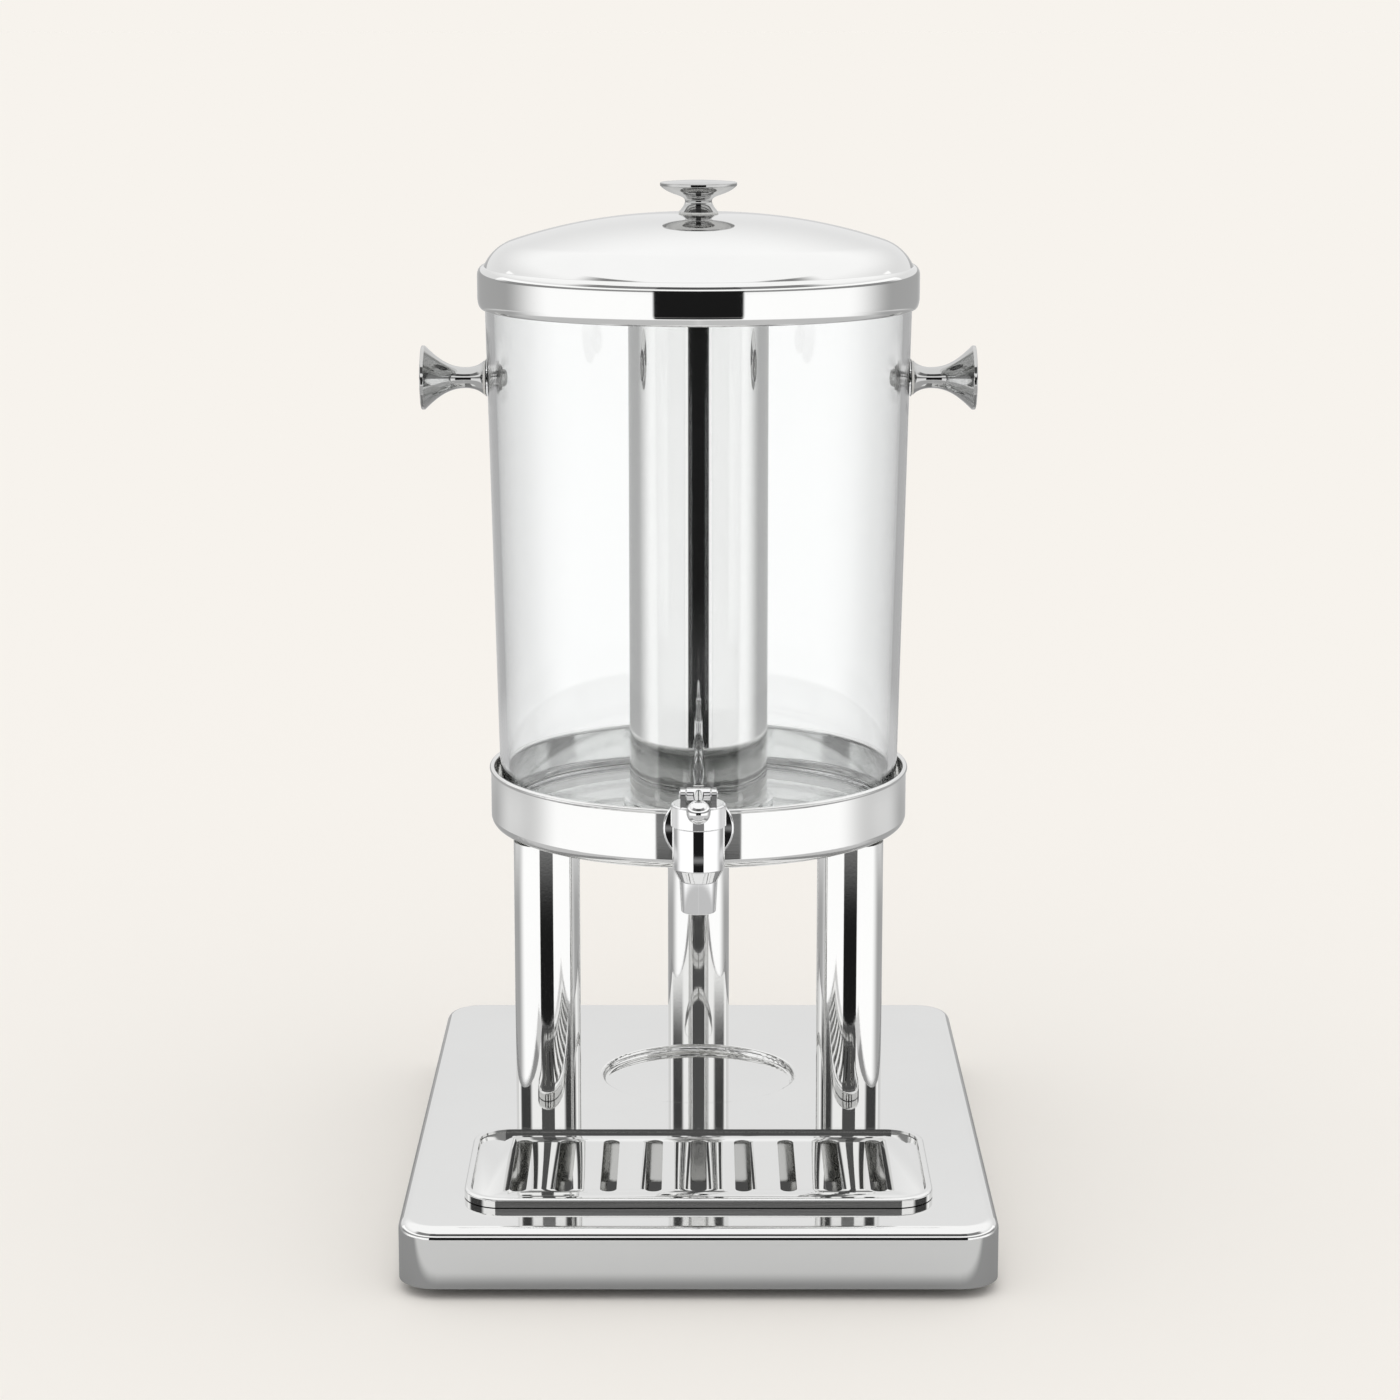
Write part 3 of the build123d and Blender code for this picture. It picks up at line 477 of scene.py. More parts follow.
class Modeller:
    """Mesh modelling by operators, as by hand."""

    @staticmethod
    def clear_selection() -> None:
        """Leave nothing selected and no object in edit mode."""
        if bpy.context.object and bpy.context.object.mode != "OBJECT":
            bpy.ops.object.mode_set(mode="OBJECT")
        bpy.ops.object.select_all(action="DESELECT")

    @classmethod
    def choose(cls, *pieces: bpy.types.Object) -> None:
        """Select these pieces alone, with the first one active."""
        cls.clear_selection()
        for piece in pieces:
            piece.select_set(True)
        bpy.context.view_layer.objects.active = pieces[0]

    @staticmethod
    def named(name: str) -> bpy.types.Object:
        """Name the piece that was just added, keep its place in its mesh, and return it."""
        piece = bpy.context.object
        piece.name = name
        piece.data.name = name
        bpy.ops.object.transform_apply(location=True, rotation=True, scale=True)
        return piece

    @classmethod
    def spun(cls, name: str, outline: Sequence[Point], steps: int = 64, closed: bool = False) -> bpy.types.Object:
        """Draw an outline by extruding a vertex, and spin it about the Z axis.

        Args:
            name: The new object's name.
            outline: Radius and height of each point, in metres.
            steps: Number of steps in the turn.
            closed: Whether the outline ends where it starts.

        Returns:
            The object, in object mode.
        """
        cls.clear_selection()
        points = [Vector((radius, 0.0, height)) for radius, height in outline]
        points += points[:1] if closed else []
        bpy.ops.mesh.primitive_plane_add(size=MM)
        piece = cls.named(name)
        bpy.ops.object.mode_set(mode="EDIT")
        bpy.ops.mesh.merge(type="CENTER")
        bpy.ops.transform.translate(value=points[0])
        for start, end in zip(points, points[1:]):
            bpy.ops.mesh.extrude_region_move(TRANSFORM_OT_translate={"value": end - start})
        bpy.ops.mesh.select_all(action="SELECT")
        bpy.ops.mesh.remove_doubles(threshold=MERGE)
        bpy.ops.mesh.spin(steps=steps, angle=math.tau, center=(0.0, 0.0, 0.0), axis=(0.0, 0.0, 1.0))
        cls.close()
        return piece

    @staticmethod
    def close() -> None:
        """Merge doubled points of the piece in edit mode, turn its faces outwards and leave edit mode."""
        bpy.ops.mesh.select_all(action="SELECT")
        bpy.ops.mesh.remove_doubles(threshold=MERGE)
        bpy.ops.mesh.normals_make_consistent(inside=False)
        bpy.ops.object.mode_set(mode="OBJECT")

    @classmethod
    def plate(cls, name: str, size: Vector, corner: float, steps: int = 10) -> bpy.types.Object:
        """Model a flat plate with rounded corners, standing on the middle of its underside.

        Args:
            name: The new object's name.
            size: Its width, depth and thickness.
            corner: Radius of its corners.
            steps: Number of steps in one corner.

        Returns:
            The object, in object mode.
        """
        cls.clear_selection()
        bpy.ops.mesh.primitive_plane_add(size=1.0)
        piece = cls.named(name)
        bpy.ops.object.mode_set(mode="EDIT")
        bpy.ops.transform.resize(value=(size.x, size.y, 1.0))
        bpy.ops.mesh.bevel(offset=corner, segments=steps, affect="VERTICES")
        bpy.ops.mesh.select_all(action="SELECT")
        bpy.ops.mesh.remove_doubles(threshold=MERGE)
        bpy.ops.mesh.extrude_region_move(TRANSFORM_OT_translate={"value": (0.0, 0.0, size.z)})
        cls.close()
        return piece

    @classmethod
    def modify(cls, piece: bpy.types.Object, kind: str, **settings: Any) -> None:
        """Add a modifier with these settings and apply it.

        Args:
            piece: The piece to change.
            kind: The modifier's type.
            **settings: Its settings.
        """
        cls.choose(piece)
        modifier = piece.modifiers.new(kind.lower(), kind)
        for name, value in settings.items():
            setattr(modifier, name, value)
        bpy.ops.object.modifier_apply(modifier=modifier.name)

    @classmethod
    def combine(cls, piece: bpy.types.Object, tool: bpy.types.Object, operation: str = "DIFFERENCE") -> None:
        """Cut a piece by a tool, or join or intersect them; the tool is used up.

        Args:
            piece: The piece to change.
            tool: What it is cut by, joined to or intersected with.
            operation: The Boolean operation.
        """
        cls.modify(piece, "BOOLEAN", operation=operation, object=tool, solver="EXACT")
        bpy.data.objects.remove(tool)

    @classmethod
    def settle(cls, piece: bpy.types.Object, place: Vector, axis: Vector = UP) -> bpy.types.Object:
        """Turn a piece's Z axis, move the piece to its place, and keep both in its mesh.

        Args:
            piece: The piece, modelled about the origin.
            place: Where its origin goes.
            axis: Where its Z axis points.

        Returns:
            The same piece.
        """
        cls.choose(piece)
        piece.rotation_euler = axis.to_track_quat("Z", "Y").to_euler()
        piece.location = place
        bpy.ops.object.transform_apply(location=True, rotation=True, scale=True)
        return piece

    @classmethod
    def copied(cls, pattern: bpy.types.Object, name: str, place: Vector, axis: Vector = UP) -> bpy.types.Object:
        """Copy a pattern with a mesh of its own and settle the copy.

        Args:
            pattern: The piece to copy, modelled about the origin.
            name: The copy's name.
            place: Where its origin goes.
            axis: Where its Z axis points.

        Returns:
            The copy.
        """
        cls.choose(pattern)
        bpy.ops.object.duplicate(linked=False)
        return cls.settle(cls.named(name), place, axis)

    @classmethod
    def smooth(cls, piece: bpy.types.Object, degrees: float = 35.0) -> bpy.types.Object:
        """Shade a piece smooth except at edges sharper than an angle, and return it."""
        cls.choose(piece)
        bpy.ops.object.shade_smooth_by_angle(angle=math.radians(degrees))
        return piece


class Drive(Enum):
    """The recess in a screw's head."""

    CROSS = "cross"
    HEXAGON = "hexagon"


@dataclass(frozen=True)
class Screw:
    """A screw with a rounded head, modelled with its seat at the origin and its head upwards.

    Attributes:
        shaft: Radius of the shaft.
        head: Radius of the head.
        head_height: Height of the head.
        drive: The recess in its head.
        recess: Half-span of the recess.
        recess_depth: Depth of the recess.
        wing: Width of a wing of a cross recess.
        pitch: Pitch of the thread.
        thread_depth: Depth of the thread, as a share of its pitch.
        dome: Rounding of the head, as a share of its height.
        steps: Number of steps round it.
    """

    shaft: float
    head: float
    head_height: float
    drive: Drive = Drive.CROSS
    recess: float = 2.2 * MM
    recess_depth: float = 1.4 * MM
    wing: float = 0.9 * MM
    pitch: float = 0.8 * MM
    thread_depth: float = 0.6
    dome: float = 0.8
    steps: int = 40

    def pattern(self, name: str, length: float) -> bpy.types.Object:
        """Model the screw.

        Args:
            name: The new object's name.
            length: Length below the head.

        Returns:
            The screw.
        """
        root = self.shaft - self.thread_depth * self.pitch
        outline: list[Point] = [(0.0, -length)]
        for turn in range(int(length / self.pitch)):
            low = turn * self.pitch - length
            outline += [(root, low), (self.shaft, low + self.pitch / 2)]
        outline += [(root, -self.pitch / 4), (root, 0.0)]
        head = rounded([
            (root, 0.0, 0.0),
            (self.head, 0.0, 0.0),
            (self.head, self.head_height, self.dome * self.head_height),
            (0.0, self.head_height, 0.0),
        ])
        screw = Modeller.spun(name, outline + head[1:], steps=self.steps)
        self.cut_recess(screw)
        return Modeller.smooth(screw)

    def cut_recess(self, screw: bpy.types.Object) -> None:
        """Cut the drive's recess into the head."""
        top = (0.0, 0.0, self.head_height)
        Modeller.clear_selection()
        if self.drive is Drive.HEXAGON:
            bpy.ops.mesh.primitive_cylinder_add(
                vertices=6, radius=self.recess, depth=2 * self.recess_depth, location=top
            )
            Modeller.combine(screw, bpy.context.object)
            return
        for wing in ((self.wing, 2 * self.recess), (2 * self.recess, self.wing)):
            Modeller.clear_selection()
            bpy.ops.mesh.primitive_cube_add(size=1.0, location=top, scale=(*wing, 2 * self.recess_depth))
            Modeller.combine(screw, bpy.context.object)


class SubAssembly:
    """Pieces of the dispenser that are modelled and dressed together."""

    @staticmethod
    def centre(node: str, **coordinates: float) -> Vector:
        """Middle of a node's box.

        Args:
            node: The node's name.
            **coordinates: x, y or z to take in place of the middle's own.

        Returns:
            The point.
        """
        low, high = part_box(node)
        point = (low + high) / 2
        for axis, value in coordinates.items():
            setattr(point, axis, value)
        return point

    @staticmethod
    def dress(finish: Finish, *nodes: str) -> None:
        """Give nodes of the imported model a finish.

        Args:
            finish: The finish.
            *nodes: The nodes' names.
        """
        for node in nodes:
            piece = frame["nodes"][node]
            piece.data.materials.clear()
            piece.data.materials.append(finish.material())
            LOG.info("%s: %s", node, finish.value.name)

    @staticmethod
    def fit(piece: bpy.types.Object, finish: Finish, body: str, *nodes: str) -> None:
        """Finish a modelled piece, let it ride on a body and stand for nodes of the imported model.

        Args:
            piece: The piece.
            finish: Its finish.
            body: The body that it rides on.
            *nodes: The nodes that it stands for.
        """
        piece.data.materials.clear()
        piece.data.materials.append(finish.material())
        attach(piece, body)
        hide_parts(*nodes)
        LOG.info("%s: modelled, %s", piece.name, finish.value.name)

    def build(self) -> None:
        """Model and dress the sub-assembly."""
        raise NotImplementedError


@dataclass
class Stand(SubAssembly):
    """Base on rubber feet, three legs and the cup that they carry.

    Attributes:
        corners: Names of the base's corners.
        legs: Names of the legs.
        foot_tip: Radius of a foot on the table.
        foot_hole: Radius of the hole for its screw.
        foot_recess: Radius of the recess for the screw's head.
        foot_recess_depth: Depth of that recess.
        foot_lip: Rounding of the foot's edge on the table.
        foot_screw: The screw in a foot.
        cup_bolt: The bolt that holds the cup on a leg.
    """

    corners: tuple[str, ...] = ("front_left", "front_right", "rear_left", "rear_right")
    legs: tuple[str, ...] = ("front_left", "front_right", "rear")
    foot_tip: float = 10.5 * MM
    foot_hole: float = 2.2 * MM
    foot_recess: float = 4.8 * MM
    foot_recess_depth: float = 3.0 * MM
    foot_lip: float = 1.0 * MM
    foot_screw: Screw = Screw(2.0 * MM, 4.0 * MM, 2.0 * MM)
    cup_bolt: Screw = Screw(
        4.0 * MM, 7.0 * MM, 2.8 * MM, Drive.HEXAGON, recess=2.9 * MM, recess_depth=1.6 * MM, pitch=1.25 * MM
    )

    def feet(self) -> None:
        """Model a foot with a rounded lip and its screw, and set copies at the base's corners."""
        low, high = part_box("rubber_foot_front_left")
        outline = rounded([
            (self.foot_hole, self.foot_recess_depth, 0.0),
            (self.foot_recess, self.foot_recess_depth, 0.0),
            (self.foot_recess, 0.0, self.foot_lip / 2),
            (self.foot_tip, 0.0, self.foot_lip),
            ((high.x - low.x) / 2, high.z, self.foot_lip / 2),
            (self.foot_hole, high.z, 0.0),
        ])
        foot = Modeller.smooth(Modeller.spun("foot_pattern", outline, closed=True))
        screw_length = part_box("foot_screws")[1].z - self.foot_recess_depth
        screw = self.foot_screw.pattern("foot_screw_pattern", screw_length)
        for corner in self.corners:
            node = "rubber_foot_" + corner
            piece = Modeller.copied(foot, "foot_" + corner, self.centre(node, z=0.0))
            self.fit(piece, Finish.BLACK_RUBBER, "stand", node)
            place = self.centre(node, z=self.foot_recess_depth)
            piece = Modeller.copied(screw, "foot_screw_" + corner, place, -UP)
            self.fit(piece, Finish.PLAIN_STEEL, "stand", "foot_screws")
        bpy.data.objects.remove(foot)
        bpy.data.objects.remove(screw)

    def cup_bolts(self) -> None:
        """Model the round-headed bolts that hold the cup on the legs."""
        low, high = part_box("leg_cup_bolts")
        seat = high.z - self.cup_bolt.head_height
        bolt = self.cup_bolt.pattern("cup_bolt_pattern", seat - low.z)
        for leg in self.legs:
            piece = Modeller.copied(bolt, "cup_bolt_" + leg, self.centre("leg_" + leg, z=seat))
            self.fit(piece, Finish.PLAIN_STEEL, "stand", "leg_cup_bolts")
        bpy.data.objects.remove(bolt)

    def build(self) -> None:
        """Model and dress the stand."""
        self.dress(Finish.SHEET_STEEL, "base_pan")
        self.dress(Finish.SPUN_STEEL, "cup", *("leg_" + leg for leg in self.legs))
        self.dress(Finish.PLAIN_STEEL, "base_floor_plate", "foot_nuts", "leg_base_washers", "leg_base_bolts")
        self.dress(Finish.PLAIN_STEEL, "leg_lower_plugs", "leg_upper_plugs")
        self.dress(Finish.SILICONE, "cup_pad")
        self.feet()
        self.cup_bolts()


@dataclass
class DripTray(SubAssembly):
    """Drip tray with its slotted grille.

    Attributes:
        slots: Number of slots.
        slot_width: Width of a slot.
        slot_length: Length of a slot.
        slot_span: From the middle of the first slot to that of the last.
        grille_corner: Radius of the grille's corners.
        edge: Rounding of the grille's pressed edges.
        edge_steps: Number of steps in that rounding.
        edge_angle: Edges sharper than this are rounded, in degrees.
    """

    slots: int = 9
    slot_width: float = 7.5 * MM
    slot_length: float = 73.0 * MM
    slot_span: float = 165.1 * MM
    grille_corner: float = 14.7 * MM
    edge: float = 0.35 * MM
    edge_steps: int = 3
    edge_angle: float = 50.0

    def grille(self) -> None:
        """Model the grille: a plate, its slots, and soft pressed edges."""
        low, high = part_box("drip_grille")
        size = high - low
        grille = Modeller.plate("grille", size, self.grille_corner)
        cutter_size = Vector((self.slot_width, self.slot_length, 3 * size.z))
        cutter = Modeller.plate("slot_pattern", cutter_size, self.slot_width / 2)
        for index in range(self.slots):
            across = self.slot_span * (index / (self.slots - 1) - 0.5)
            slot = Modeller.copied(cutter, "slot", Vector((across, 0.0, -size.z)))
            Modeller.combine(grille, slot)
        bpy.data.objects.remove(cutter)
        limit = math.radians(self.edge_angle)
        rounding = {"width": self.edge, "segments": self.edge_steps}
        Modeller.modify(grille, "BEVEL", **rounding, limit_method="ANGLE", angle_limit=limit)
        Modeller.smooth(Modeller.settle(grille, self.centre("drip_grille", z=low.z)))
        self.fit(grille, Finish.SHEET_STEEL, "drip_grille", "drip_grille")

    def build(self) -> None:
        """Model and dress the drip tray."""
        self.dress(Finish.SHEET_STEEL, "drip_tray")
        self.grille()


@dataclass
class Tank(SubAssembly):
    """Clear tank with its side handles.

    Attributes:
        handle_screw: The screw that holds a handle, from inside the tank.
    """

    handle_screw: Screw = Screw(2.5 * MM, 4.5 * MM, 3.0 * MM)

    def handle_screws(self) -> None:
        """Model the screws whose heads show inside the tank."""
        points = [vertex.co for vertex in frame["nodes"]["handle_screws"].data.vertices]
        seat = min(abs(point.x) for point in points) + self.handle_screw.head_height
        length = max(point.x for point in points) - seat
        screw = self.handle_screw.pattern("handle_screw_pattern", length)
        for name, side in (("left", -1.0), ("right", 1.0)):
            place = self.centre("handle_screws", x=side * seat)
            piece = Modeller.copied(screw, "handle_screw_" + name, place, Vector((-side, 0.0, 0.0)))
            self.fit(piece, Finish.PLAIN_STEEL, "tank", "handle_screws")
        bpy.data.objects.remove(screw)

    def build(self) -> None:
        """Model and dress the tank."""
        self.dress(Finish.CLEAR_PLASTIC, "tank")
        self.dress(Finish.HANDLE_STEEL, "handle_left", "handle_right")
        self.dress(Finish.SILICONE, "handle_washers")
        self.handle_screws()


@dataclass
class Tap(SubAssembly):
    """Lever tap with its lock nut, valve and return spring.

    Attributes:
        shank: Radius of the threaded shank.
        shank_bore: Radius of its bore.
        shank_pitch: Pitch of its thread.
        thread_reach: Length of its thread.
        collar: Radius of the collar in the cup's slot.
        collar_start: From the shank's end to the collar.
        flange_start: From the shank's end to the cover flange.
        flange_height: Thickness of the cover flange.
        neck: Radius of the neck between flange and barrel.
        neck_sink: How far the neck's end stands from the barrel's axis.
        chamber: Radius of the valve chamber.
        barrel_thread: Radius of the barrel's thread under the bonnet.
        barrel_drop: From the shank's axis down to the barrel's foot.
        seat_height: Thickness of the chamber's floor.
        spout: Radius of the spout at its tip.
        spout_bore: Radius of the spout's bore.
        spout_draft: How much wider the spout is at its root.
        spout_cone: Height of the cone between spout and barrel.
        lip: Rounding of the cast edges.
        nut_chamfer: Chamfer of the lock nut's corners.
        nut_bore: Radius of the lock nut's bore.
        wire: Thickness of the spring's wire.
        wire_sides: Number of steps round the wire.
        wire_crease: Edges of the wire sharper than this stay sharp, in degrees.
        coils: Number of the spring's coils.
        coil_steps: Number of steps in one coil.
    """

    shank: float = 8.0 * MM
    shank_bore: float = 5.0 * MM
    shank_pitch: float = 1.25 * MM
    thread_reach: float = 10.0 * MM
    collar: float = 10.0 * MM
    collar_start: float = 17.5 * MM
    flange_start: float = 20.7 * MM
    flange_height: float = 2.5 * MM
    neck: float = 7.5 * MM
    neck_sink: float = 9.1 * MM
    chamber: float = 9.0 * MM
    barrel_thread: float = 10.8 * MM
    barrel_drop: float = 12.0 * MM
    seat_height: float = 2.0 * MM
    spout: float = 8.0 * MM
    spout_bore: float = 5.5 * MM
    spout_draft: float = 0.8 * MM
    spout_cone: float = 6.0 * MM
    lip: float = 0.7 * MM
    nut_chamfer: float = 0.9 * MM
    nut_bore: float = 8.1 * MM
    wire: float = 1.6 * MM
    wire_sides: int = 12
    wire_crease: float = 60.0
    coils: int = 5
    coil_steps: int = 32

    def shank_outline(self, flange: float, neck_end: float) -> list[Point]:
        """Outline of the shank, collar, flange and neck, along their axis from the shank's end.

        Args:
            flange: Radius of the cover flange.
            neck_end: Length from the shank's end to the neck's end.

        Returns:
            Radius and height of each point.
        """
        outline: list[Point] = [(self.shank_bore, 0.0), (self.shank - self.lip, 0.0)]
        for turn in range(int(self.thread_reach / self.shank_pitch)):
            low = (turn + 0.5) * self.shank_pitch
            outline += [(self.shank, low), (self.shank - self.lip, low + self.shank_pitch / 2)]
        flange_end = self.flange_start + self.flange_height
        outline += [(self.shank, self.thread_reach + self.shank_pitch)]
        outline += rounded([
            (self.shank, self.collar_start, 0.0),
            (self.collar, self.collar_start, 0.0),
            (self.collar, self.flange_start, 0.0),
            (flange, self.flange_start, self.lip / 2),
            (flange, flange_end, 1.5 * self.lip),
            (self.neck, flange_end, self.lip),
            (self.neck, neck_end, 0.0),
            (self.shank_bore, neck_end, 0.0),
        ])
        return outline

    def casting(self) -> None:
        """Model the tap's body: a hollow barrel with its spout, joined to the shank."""
        low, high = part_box("tap_body")
        axis = self.centre("tap_stem")
        shank_axis = self.centre("tap_lock_nut").z
        foot = shank_axis - self.barrel_drop
        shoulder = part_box("tap_bonnet")[0].z
        barrel_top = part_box("tap_spring")[1].z
        barrel = axis.y - low.y
        outline = rounded([
            (self.spout_bore, low.z, self.lip / 2),
            (self.spout, low.z, self.lip),
            (self.spout + self.spout_draft, foot - self.spout_cone, 2 * self.lip),
            (barrel, foot, 2 * self.lip),
            (barrel, shoulder, self.lip),
            (self.barrel_thread, shoulder, 0.0),
            (self.barrel_thread, barrel_top, 0.0),
            (self.chamber, barrel_top, 0.0),
            (self.chamber, foot + self.seat_height, 0.0),
            (self.spout_bore, foot + self.seat_height, 0.0),
        ])
        casting = Modeller.spun("tap_casting", outline, closed=True)
        Modeller.settle(casting, Vector((0.0, axis.y, 0.0)))
        neck_end = high.y - axis.y - self.neck_sink
        shank = Modeller.spun("tap_shank", self.shank_outline(high.x, neck_end), closed=True)
        Modeller.settle(shank, Vector((0.0, high.y, shank_axis)), FORWARD)
        Modeller.combine(casting, shank, "UNION")
        self.fit(Modeller.smooth(casting), Finish.CHROME, "tank", "tap_body")

    def lock_nut(self) -> None:
        """Model the lock nut: a hexagon with turned corners and a bore."""
        low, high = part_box("tap_lock_nut")
        corner, height = high.x, high.y - low.y
        Modeller.clear_selection()
        bpy.ops.mesh.primitive_cylinder_add(
            vertices=6,
            radius=corner,
            depth=height,
            location=(0.0, 0.0, height / 2),
            rotation=(0.0, 0.0, math.pi / 6),
        )
        nut = Modeller.named("lock_nut")
        turned = Modeller.spun("nut_blank", [
            (self.nut_bore, 0.0),
            (corner - 2 * self.nut_chamfer, 0.0),
            (corner, self.nut_chamfer),
            (corner, height - self.nut_chamfer),
            (corner - 2 * self.nut_chamfer, height),
            (self.nut_bore, height),
        ], closed=True)
        Modeller.combine(nut, turned, "INTERSECT")
        Modeller.smooth(Modeller.settle(nut, self.centre("tap_lock_nut", y=high.y), FORWARD))
        self.fit(nut, Finish.CHROME, "tank", "tap_lock_nut")

    def spring(self) -> None:
        """Model the return spring as a coil of wire."""
        low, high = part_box("tap_spring")
        coil = high.x - self.wire / 2
        pitch = (high.z - low.z - self.wire) / self.coils
        Modeller.clear_selection()
        bpy.ops.mesh.primitive_circle_add(
            vertices=self.wire_sides,
            radius=self.wire / 2,
            location=(coil, 0.0, 0.0),
            rotation=(math.pi / 2, 0.0, 0.0),
        )
        spring = Modeller.named("return_spring")
        steps = {"steps": self.coil_steps, "render_steps": self.coil_steps}
        Modeller.modify(spring, "SCREW", angle=math.tau, screw_offset=pitch, iterations=self.coils, **steps)
        bpy.ops.object.mode_set(mode="EDIT")
        bpy.ops.mesh.select_all(action="SELECT")
        bpy.ops.mesh.remove_doubles(threshold=MERGE)
        bpy.ops.mesh.fill_holes(sides=0)
        Modeller.close()
        Modeller.settle(spring, self.centre("tap_spring", z=low.z + self.wire / 2))
        Modeller.smooth(spring, self.wire_crease)
        self.fit(spring, Finish.PLAIN_STEEL, "tank", "tap_spring")
        travel = next(joint["range_m"][1] for joint in frame["joints"] if joint["name"] == "stem_lift")
        anchor = self.centre("tap_spring", z=high.z)
        1.0 - travel / (high.z - low.z)
        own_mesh(spring)

    def build(self) -> None:
        """Model and dress the tap."""
        self.dress(Finish.CHROME, "tap_bonnet", "tap_lever", "tap_lever_pin")
        self.dress(Finish.PLAIN_STEEL, "tap_stem", "tap_stem_pin")
        self.dress(Finish.SILICONE, "tap_outer_gasket", "tap_inner_gasket", "tap_seat_cup")
        self.casting()
        self.lock_nut()
        self.spring()


@dataclass
class IceTube(SubAssembly):
    """Steel ice tube on its soft foot ring.

    Attributes:
        body: The body that it is.
    """

    body: str = "ice_tube"

    def build(self) -> None:
        """Dress the ice tube."""
        self.dress(Finish.SPUN_STEEL, self.body)
        self.dress(Finish.SILICONE, self.body + "_foot")


@dataclass
class Lid(SubAssembly):
    """Spun lid with its turned knob; its curves are those of the middle of the sheet.

    Attributes:
        sheet: Thickness of the sheet.
        bore: Radius of the hole for the knob's screw.
        flat: Radius of the flat under the knob.
        crown: Radius of the crown's curve.
        crown_end: Slope of the crown at the shoulder, in degrees.
        shoulder: Radius of the shoulder's curve.
        shoulder_end: Slope of the shoulder at its foot, in degrees.
        skirt: Radius of the skirt.
        skirt_depth: Depth of the skirt's upper rounding below the lid's top.
        edge: Half-width and half-height of the skirt's upper rounding.
        edge_start: Where that rounding starts, in degrees up from level.
        hem: Half-width and half-height of the skirt's lower rounding.
        curve_steps: Number of steps in crown, shoulder, edge and hem.
        turn_steps: Number of steps round the lid.
        knob_screw: The screw that holds the knob, from under the lid.
    """

    sheet: float = 1.0 * MM
    bore: float = 2.7 * MM
    flat: float = 10.0 * MM
    crown: float = 254.5 * MM
    crown_end: float = 18.32
    shoulder: float = 21.49 * MM
    shoulder_end: float = 66.1
    skirt: float = 106.0 * MM
    skirt_depth: float = 28.9 * MM
    edge: Point = (2.4 * MM, 3.8 * MM)
    edge_start: float = 92.0
    hem: Point = (1.3 * MM, 5.0 * MM)
    curve_steps: tuple[int, ...] = (28, 20, 16, 12)
    turn_steps: int = 192
    knob_screw: Screw = Screw(2.5 * MM, 4.5 * MM, 3.0 * MM)

    def face(self, outward: float, height: float) -> list[Point]:
        """Outline of one face of the lid's sheet, below the lid's top.

        Args:
            outward: How far the face lies outside the middle of the sheet.
            height: Height of the whole lid.

        Returns:
            Radius and height of each point, from the hole to the hem.
        """
        top = -self.sheet / 2
        slope = math.radians(self.crown_end)
        crown = (self.flat, top - self.crown)
        between = self.crown - self.shoulder
        shoulder = (crown[0] + between * math.sin(slope), crown[1] + between * math.cos(slope))
        edge = (self.skirt - self.edge[0], -self.skirt_depth)
        hem = (self.skirt - self.hem[0], self.hem[1] + self.sheet / 2 - height)
        points: list[Point] = [(self.bore, top + outward)]
        curves = (
            (crown, (self.crown, self.crown), 90.0, 90.0 - self.crown_end),
            (shoulder, (self.shoulder, self.shoulder), 90.0 - self.crown_end, 90.0 - self.shoulder_end),
            (edge, self.edge, self.edge_start, 0.0),
            (hem, self.hem, 0.0, -90.0),
        )
        for (middle, reach, start, end), steps in zip(curves, self.curve_steps):
            points += arc(middle, (reach[0] + outward, reach[1] + outward), start, end, steps)
        return points

    def shell(self) -> None:
        """Spin the lid's sheet, with soft edges above and below its skirt."""
        low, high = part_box("lid")
        height = high.z - low.z
        outline = self.face(self.sheet / 2, height) + self.face(-self.sheet / 2, height)[::-1]
        shell = Modeller.spun("lid_shell", outline, steps=self.turn_steps, closed=True)
        Modeller.smooth(Modeller.settle(shell, self.centre("lid", z=high.z)))
        self.fit(shell, Finish.SPUN_STEEL, "lid", "lid")

    def build(self) -> None:
        """Model and dress the lid."""
        self.dress(Finish.SPUN_STEEL, "lid")
        self.dress(Finish.KNOB_STEEL, "lid_knob")
        self.dress(Finish.SILICONE, "lid_knob_washer")
        self.shell()
        low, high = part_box("lid_knob_screw")
        seat = low.z + self.knob_screw.head_height
        screw = self.knob_screw.pattern("knob_screw", high.z - seat)
        Modeller.settle(screw, self.centre("lid_knob_screw", z=seat), -UP)
        self.fit(screw, Finish.PLAIN_STEEL, "lid", "lid_knob_screw")


@dataclass(frozen=True)
class Card:
    """A card or flag far off in the studio, which only polished metal shows.

    Attributes:
        glow: Its brightness.
        turn: Its edges, in degrees to either side of the front.
        height: Its lower and upper edge, in degrees above the horizon.
        turn_soft: Width of its upright edges, in degrees.
        height_soft: Width of its level edges, in degrees.
        deep: Whether it shows only in metal that is itself seen in metal.
        behind_tank: Whether it shows only in metal that is seen through the clear tank.
    """

    glow: float
    turn: tuple[float, float]
    height: tuple[float, float]
    turn_soft: float = 1.6
    height_soft: float = 1.6
    deep: bool = False
    behind_tank: bool = False


